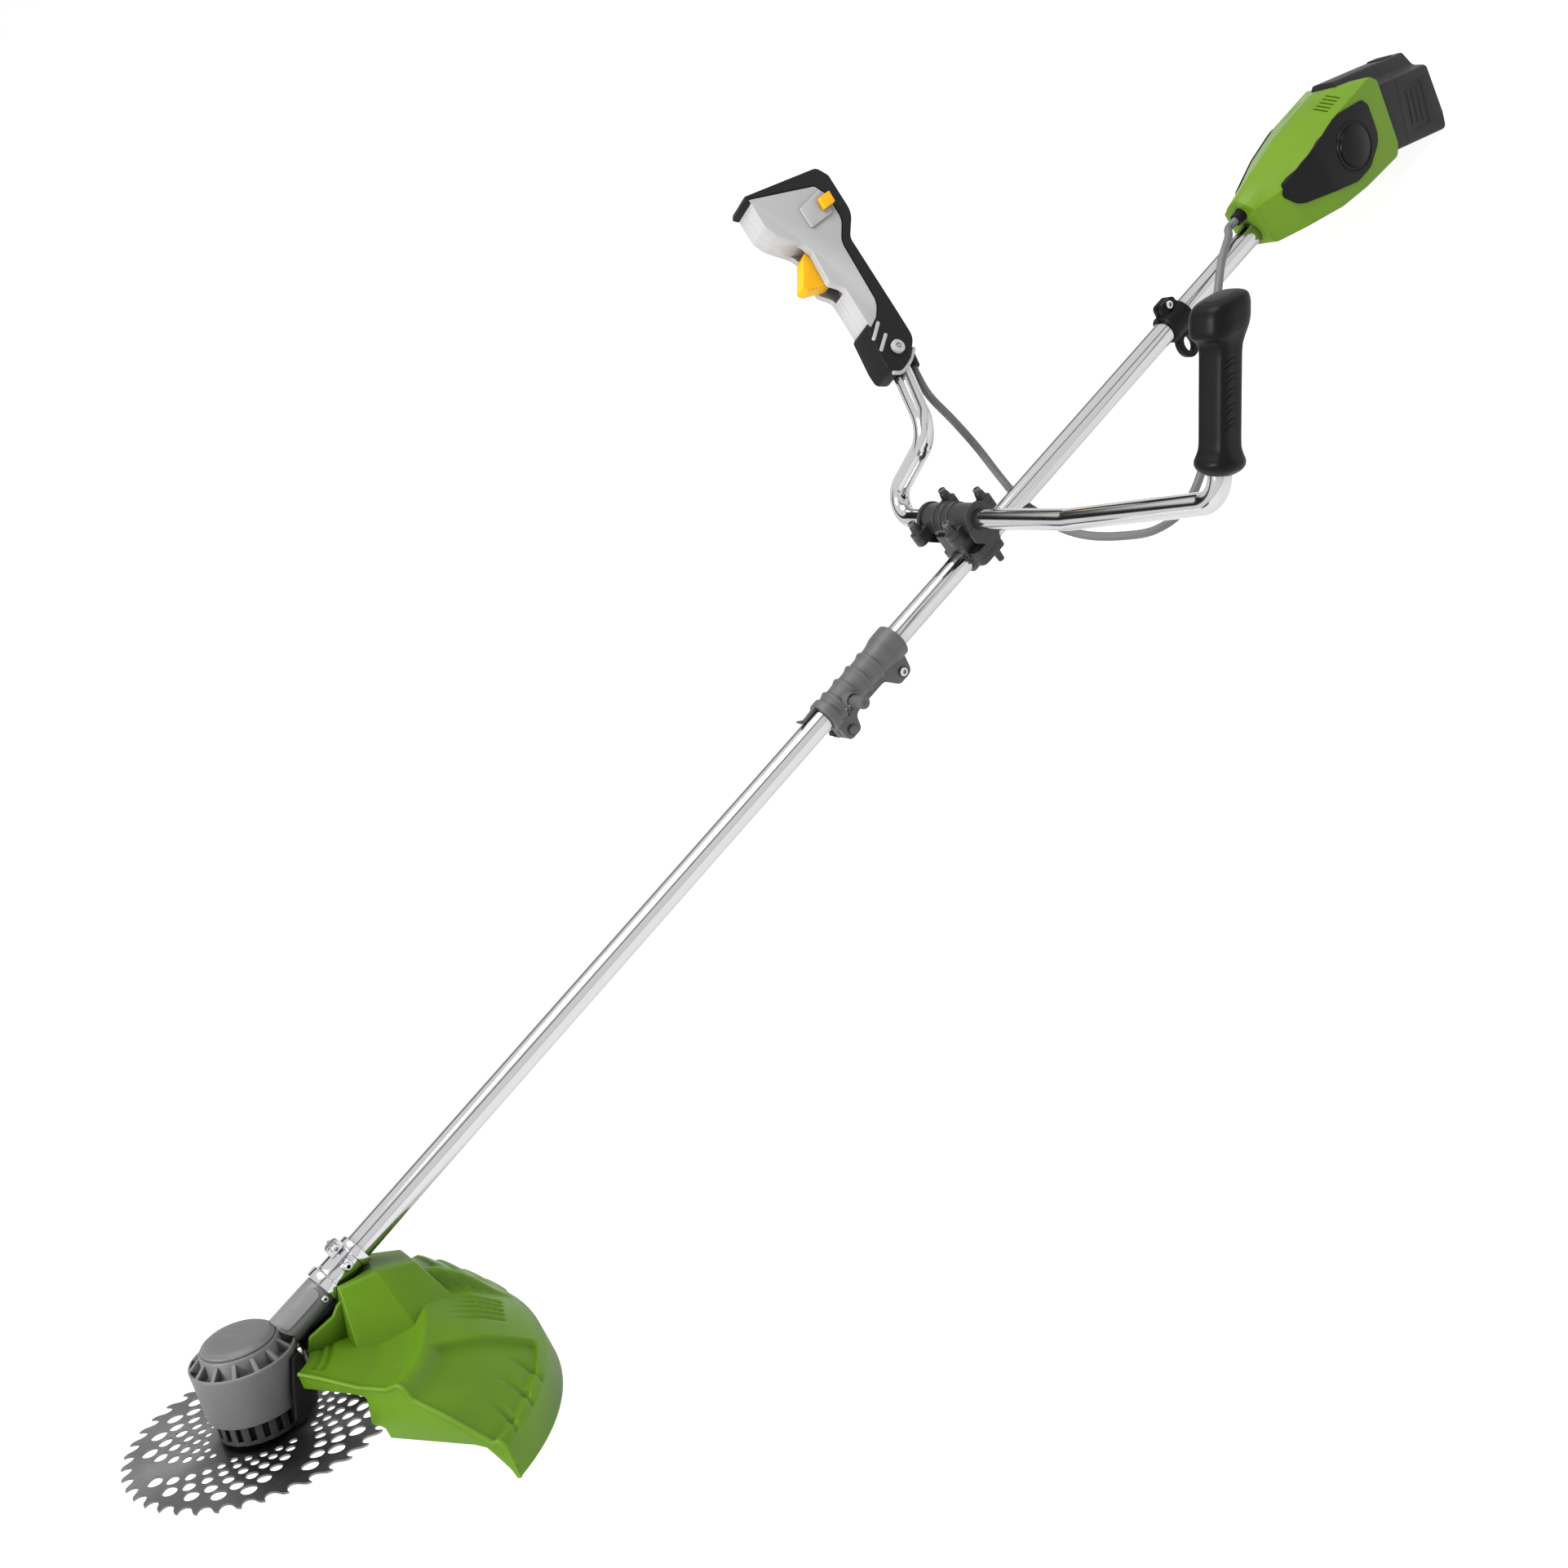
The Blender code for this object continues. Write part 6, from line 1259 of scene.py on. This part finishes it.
def make_control_handle():
    outline = rounded_outline(SPINE, SPINE_ROUND, 8)
    spine = link("handle_back", slab(outline, -SPINE_HALF, SPINE_HALF), CONTROL)
    rounded(spine, 3.6, 6, 50)
    cut(spine, drill(7.4, 5, 36, 48), GLAND, "UNION")
    shell = rounded_outline(SHELL, SHELL_ROUND, 8)
    cut(spine, slab(inset(shell, -0.35), -20, 20), CONTROL)
    cut(spine, handle_bar_hole(), CONTROL)
    finished(spine, "black", "tool", "handle_spine")
    for sign, side in SIDES:
        half = link("handle_half_" + side, slab(shell, 0.1, SHELL_HALF, sign), CONTROL)
        soft_rim(half, sign * SHELL_HALF * MM)
        cut(half, box((-8.5, 80, 28), (8.5, 142, 110)), CONTROL)
        cut(half, handle_bar_hole(), CONTROL)
        finished(half, "grey", "tool", "handle_shell_" + side)


def make_handle_details():
    piece("switch_pad", slab(rounded_outline(PAD, 3, 6), 15, 18.2), CONTROL, "grey", "tool", "", 0.9, 3, 50)
    for start, end in INLAYS:
        start, end = Vector(start), Vector(end)
        along = (end - start).normalized()
        side = Vector((-along.y, along.x)) * 2
        slot = [tuple(corner) for corner in (start + side, end + side, end - side, start - side)]
        piece("handle_inlay", slab(rounded_outline(slot, 1.9), 15.4, 17.2), CONTROL, "grey", "tool", "",
              0.4, 2, 50)
    piece("handle_boss", across(turned(BOSS, 64), 5, 6), CONTROL, "grey", "tool")
    path = smooth_route(LIP, 1.5)
    piece("handle_lip", swept(path, [LIP_R] * len(path), 24), at(CONTROL, (LIP_X, 0, 0)), "grey", "tool")
    piece("trigger_lever", slab(rounded_outline(TRIGGER, TRIGGER_ROUND, 8), -8, 8), CONTROL, "yellow",
          "trigger_body", "trigger", 2.2, 5, 50)
    piece("switch_knob", slab(rounded_outline(KNOB, 1.6, 5), 18.5, 23.7), CONTROL, "yellow", "switch",
          "power_switch", 0.8, 3, 40)
    piece("cable_gland_front", turned(COLLAR, 64), GLAND, "black", "tool", "handle_gland")


# Harness hanger

HANGER_Y = 1446
HANGER_HALF = 16
HANGER_SCREW_Z = 22.5
EYE_Z = -30


def make_hanger():
    low, high = HANGER_Y - HANGER_HALF, HANGER_Y + HANGER_HALF
    band = link("hanger_band", rod(TUBE_R + 4.5, low, high, 96, TUBE_R + FREE, 1), SHAFT)
    ear = rounded_outline([(low + 3, 12), (low + 5, 27.4), (high - 5, 27.4), (high - 3, 12)],
                          [0.5, 6, 6, 0.5], 6)
    for side in (-1, 1):
        cut(band, slab(ear, 0.9, 7, side), TOOL, "UNION")
    cut(band, slab(oval(HANGER_Y, EYE_Z, 14, 17, 64), -3.5, 3.5), TOOL, "UNION")
    cut(band, slab(oval(HANGER_Y, EYE_Z - 1, 6.5, 9.5, 48), -10, 10), TOOL)
    cut(band, drill(TUBE_R + FREE, low - 5, high + 5, 96), SHAFT)
    cut(band, box((-0.9, low - 1, 10), (0.9, high + 1, 30)), TOOL)
    rounded(band, 0.9, 3, 40)
    finished(band, "rubber", "tool", "harness_hanger")
    piece("hanger_bolt", across(bolt(2.5, -7, 7.3, 4.5, 10), HANGER_Y, HANGER_SCREW_Z), TOOL, "steel",
          "tool", "hanger_screw")


# Rear housing and battery

HOUSING_SIDE = [(1600, -18), (1600, 44), (1624, 51), (1700, 58), (1745, 61), (1774, 60), (1813, 45),
                (1821, 34.5), (1806, -40), (1797, -51), (1735, -47), (1690, -40), (1640, -28)]
SIDE_ROUND = [10, 10, 20, 60, 20, 20, 12, 6, 10, 10, 40, 40, 40]
ROOF = [(1580, 40, 10, 36, -5), (1634, 50, 17, 42, 4), (1693, 57.5, 29, 46, 31), (1745, 61, 34, 48.5, 41),
        (1800, 61, 37, 47.5, 41.5), (1860, 61, 37, 47, 41)]
HOUSING_PLAN = [(24, 1590), (24, 1604), (37, 1640), (47.5, 1692), (47.5, 1830)]
PLAN_ROUND = [1, 8, 30, 40, 1, 1, 40, 30, 8, 1]
HALVES_GAP = 0.12
CABLE_HOLE = (0, 1600, 26)
VENTS = 5
VENT_Y = 1748
VENT_PITCH = 6.2
VENT_HALF = 1.1
VENT_DROP = 0.2
PANEL = [(1786, 33), (1791, 23), (1783, -17), (1752, -33), (1726, -33), (1645, -2), (1632, 20),
         (1640, 30), (1741, 45)]
PANEL_ROUND = [6, 8, 26, 20, 20, 30, 9, 8, 40]
BADGE_PLACE = (48.6, 1745, 1.3)
BADGE = [(0, 0), (28.6, 0), (28.6, 1.0), (28.2, 1.6), (27.2, 1.6), (26.4, 0.8), (23.6, 0.8), (23, 2.2),
         (22, 2.7), (0, 2.9)]
BATTERY_HALF = 43.2
PACK_TOP = 34
PACK_LOW = -44
PACK_LENGTH = 128
PACK_RECESS = [(-58, 22), (-20, 22), (-16, -30), (-54, -30)]
RIDGE_HALF = 16
RIDGE_TOP = 54
PACK_SEAM = (-64, -56)
PACK_LEAN = math.radians(10.6)
BATTERY_RIBS = 4
RIB_WIDTH = 3
BATTERY_RIB_PITCH = 9
LATCH_GROOVES = 4


def plan_outline(grow, steps):
    """The housing seen from above, each side moved out by a distance."""
    left = [(x + grow, y) for x, y in HOUSING_PLAN]
    return rounded_outline(left + [(-x, y) for x, y in reversed(left)], PLAN_ROUND, steps)


def battery_outline(grow):
    half, ridge = BATTERY_HALF + grow, RIDGE_HALF + grow
    left = [(half, PACK_LOW - grow), (half, PACK_TOP + grow), (ridge + 9, PACK_TOP + 3 + grow),
            (ridge, RIDGE_TOP + grow)]
    corners = [(-half, PACK_LOW - grow)] + left + [(-x, z) for x, z in left[:0:-1]]
    return rounded_outline(corners, [8, 8, 6, 8, 5, 5, 8, 6], 6)


def make_housing():
    side_view = inset(rounded_outline(HOUSING_SIDE, SIDE_ROUND, 5), 0)
    body = link("housing_solid", slab(side_view, -60, 60), TOOL)
    cut(body, prism(plan_outline(0, 6), -120, 120), TOOL, "INTERSECT")
    rings = [[(-60, y, -90), (-60, y, low), (-x, y, z), (0, y, top), (x, y, z), (60, y, low), (60, y, -90)]
             for y, top, x, z, low in ROOF]
    cut(body, loft(rings), TOOL, "INTERSECT")
    cut(body, prism(battery_outline(0.5), -PACK_LENGTH - 3, 80, "xzy"), SEAT)
    cut(body, drill(TUBE_R + FREE, 1580, 1645), SHAFT)
    cut(body, lengthways(drill(7.9, -20, 20, 48), CABLE_HOLE), TOOL)
    for side in (-1, 1):
        for step in range(VENTS):
            y, drop = VENT_Y + VENT_PITCH * step, VENT_DROP * step
            slot = [(side * 17, 60), (side * 17, 50 - drop), (side * 35, 43.5 - drop), (side * 35, 60)]
            cut(body, prism(slot, y - VENT_HALF, y + VENT_HALF, "xzy"), TOOL)
    for sign, side in reversed(SIDES):
        half = linked("housing_half_" + side, body.data.copy(), TOOL)
        low, high = sorted((-sign * 90, sign * HALVES_GAP))
        cut(half, box((low, 1500, -100), (high, 1900, 100)), TOOL)
        rounded(half, 1.6, 4, 30)
        finished(half, "green_light", "tool", "housing_" + side, 32)
    bpy.data.objects.remove(body)


def make_panels():
    outline = rounded_outline(PANEL, PANEL_ROUND, 8)
    for sign, side in SIDES:
        panel = link("panel_" + side, slab(outline, 30, 49.2, sign), TOOL)
        cut(panel, prism(plan_outline(1.6, 8), -120, 120), TOOL, "INTERSECT")
        rounded(panel, 1.4, 4, 40)
        finished(panel, "gloss", "tool", "side_panel_" + side, 40)
        disc = turned(BADGE)
        if sign < 0:
            bmesh.ops.scale(disc, vec=(1, 1, -1), verts=disc.verts)
            bmesh.ops.reverse_faces(disc, faces=disc.faces)
        x, y, z = BADGE_PLACE
        piece("badge_disc", disc, at(TOOL, (sign * x, y, z), QUARTER, "Y"), "gloss", "tool")


def make_battery():
    pack = link("battery_case", prism(battery_outline(0), -PACK_LENGTH, 6.3, "xzy"), SEAT)
    cut(pack, placed(box((-60, -8, -60), (60, 40, 70)), (0, 10, 0), (PACK_LEAN, 0, 0)), SEAT)
    recess = rounded_outline(PACK_RECESS, 6, 6)
    for side in (-1, 1):
        cut(pack, slab(recess, BATTERY_HALF - 0.9, BATTERY_HALF + 3, side), SEAT)
    rounded(pack, 2.4, 4, 40)
    cut(pack, box((-90, -60.6, -70), (90, -60, 90)), SEAT)
    finished(pack, "battery", "battery", "battery_pack", 35)
    seam = prism(inset(battery_outline(0), 0.7), *PACK_SEAM, "xzy")
    piece("battery_seam", seam, SEAT, "black", "battery")
    for side in (-1, 1):
        for step in range(BATTERY_RIBS):
            y = -46 + step * BATTERY_RIB_PITCH
            rib = slab(rectangle(y, -24, y + RIB_WIDTH, 16), BATTERY_HALF - 1.6, BATTERY_HALF - 0.2, side)
            piece("battery_rib", rib, SEAT, "battery", "battery", "", 0.5, 2, 50)
    latch = link("latch_button", box((-11, -38, 53), (11, -20, 55.4)), SEAT)
    for step in range(LATCH_GROOVES):
        cut(latch, box((-8, -35.4 + step * 4, 54.8), (8, -33.6 + step * 4, 56)), SEAT)
    rounded(latch, 0.7, 3, 40)
    finished(latch, "black", "latch", "battery_latch")


# Control cable: the route's own points, from the handle to the housing

CABLE_ROUTE = [(-61, 1174, 128), (-56, 1178, 90),
               (-54, 1182, 50), (-46, 1180, 10), (-26, 1172, -17), (5, 1164, -30), (35, 1158, -44),
               (70, 1158, -54), (118, 1160, -56), (152, 1176, -62), (166, 1210, -63), (160, 1260, -52),
               (138, 1320, -30), (110, 1380, -8), (84, 1428, 8), (62, 1472, 20), (45, 1507, 29),
               (22, 1550, 30)]
CABLE_END = [(0, 1575, 26), (0, 1589, 26), (0, 1599.7, 26)]
CABLE_R = 4.7
RIB_PITCH = 2.4
RIB_DROPS = (0, 0.1, 0.75, 0.1)
REAR_GLAND = [(5.7, -11), (7, -11), (7.6, 8), (3.3, 8), (3.3, 0), (5.7, 0), (5.7, -11)]


def make_cable():
    into_tool = TOOL.inverted() @ GLAND
    start = [into_tool @ Vector((0, 0, along * MM)) / MM for along in (3, -8, -18)]
    route = smooth_route(start + CABLE_ROUTE + CABLE_END, RIB_PITCH / len(RIB_DROPS))
    radii = [CABLE_R - RIB_DROPS[index % len(RIB_DROPS)] for index in range(len(route))]
    cable = piece("control_conduit", swept(route, radii, 20), TOOL, "conduit", "tool", "control_cable",
                  smooth=180)
    piece("cable_gland_rear", lengthways(turned(REAR_GLAND, 64), CABLE_HOLE), TOOL, "black", "tool",
          "housing_gland")


# CAD nodes that keep their own shape

def dress_nodes(looks):
    slot_of = {part["node"]: part["material_slot"] for part in frame["record"]["subparts"]}
    for name, obj in frame["nodes"].items():
        obj.data.materials.clear()
        obj.data.materials.append(looks[slot_of[name]])


LOOKS = make_looks()
make_stage()
dress_nodes(LOOKS)
for make in (make_guard, make_blade, make_drum, make_skirt, make_neck, make_bracket, make_sleeve, make_tubes,
             make_coupler, make_handlebar, make_bar_clamp, make_grip, make_control_handle,
             make_handle_details, make_hanger, make_housing, make_panels, make_battery, make_cable):
    make()
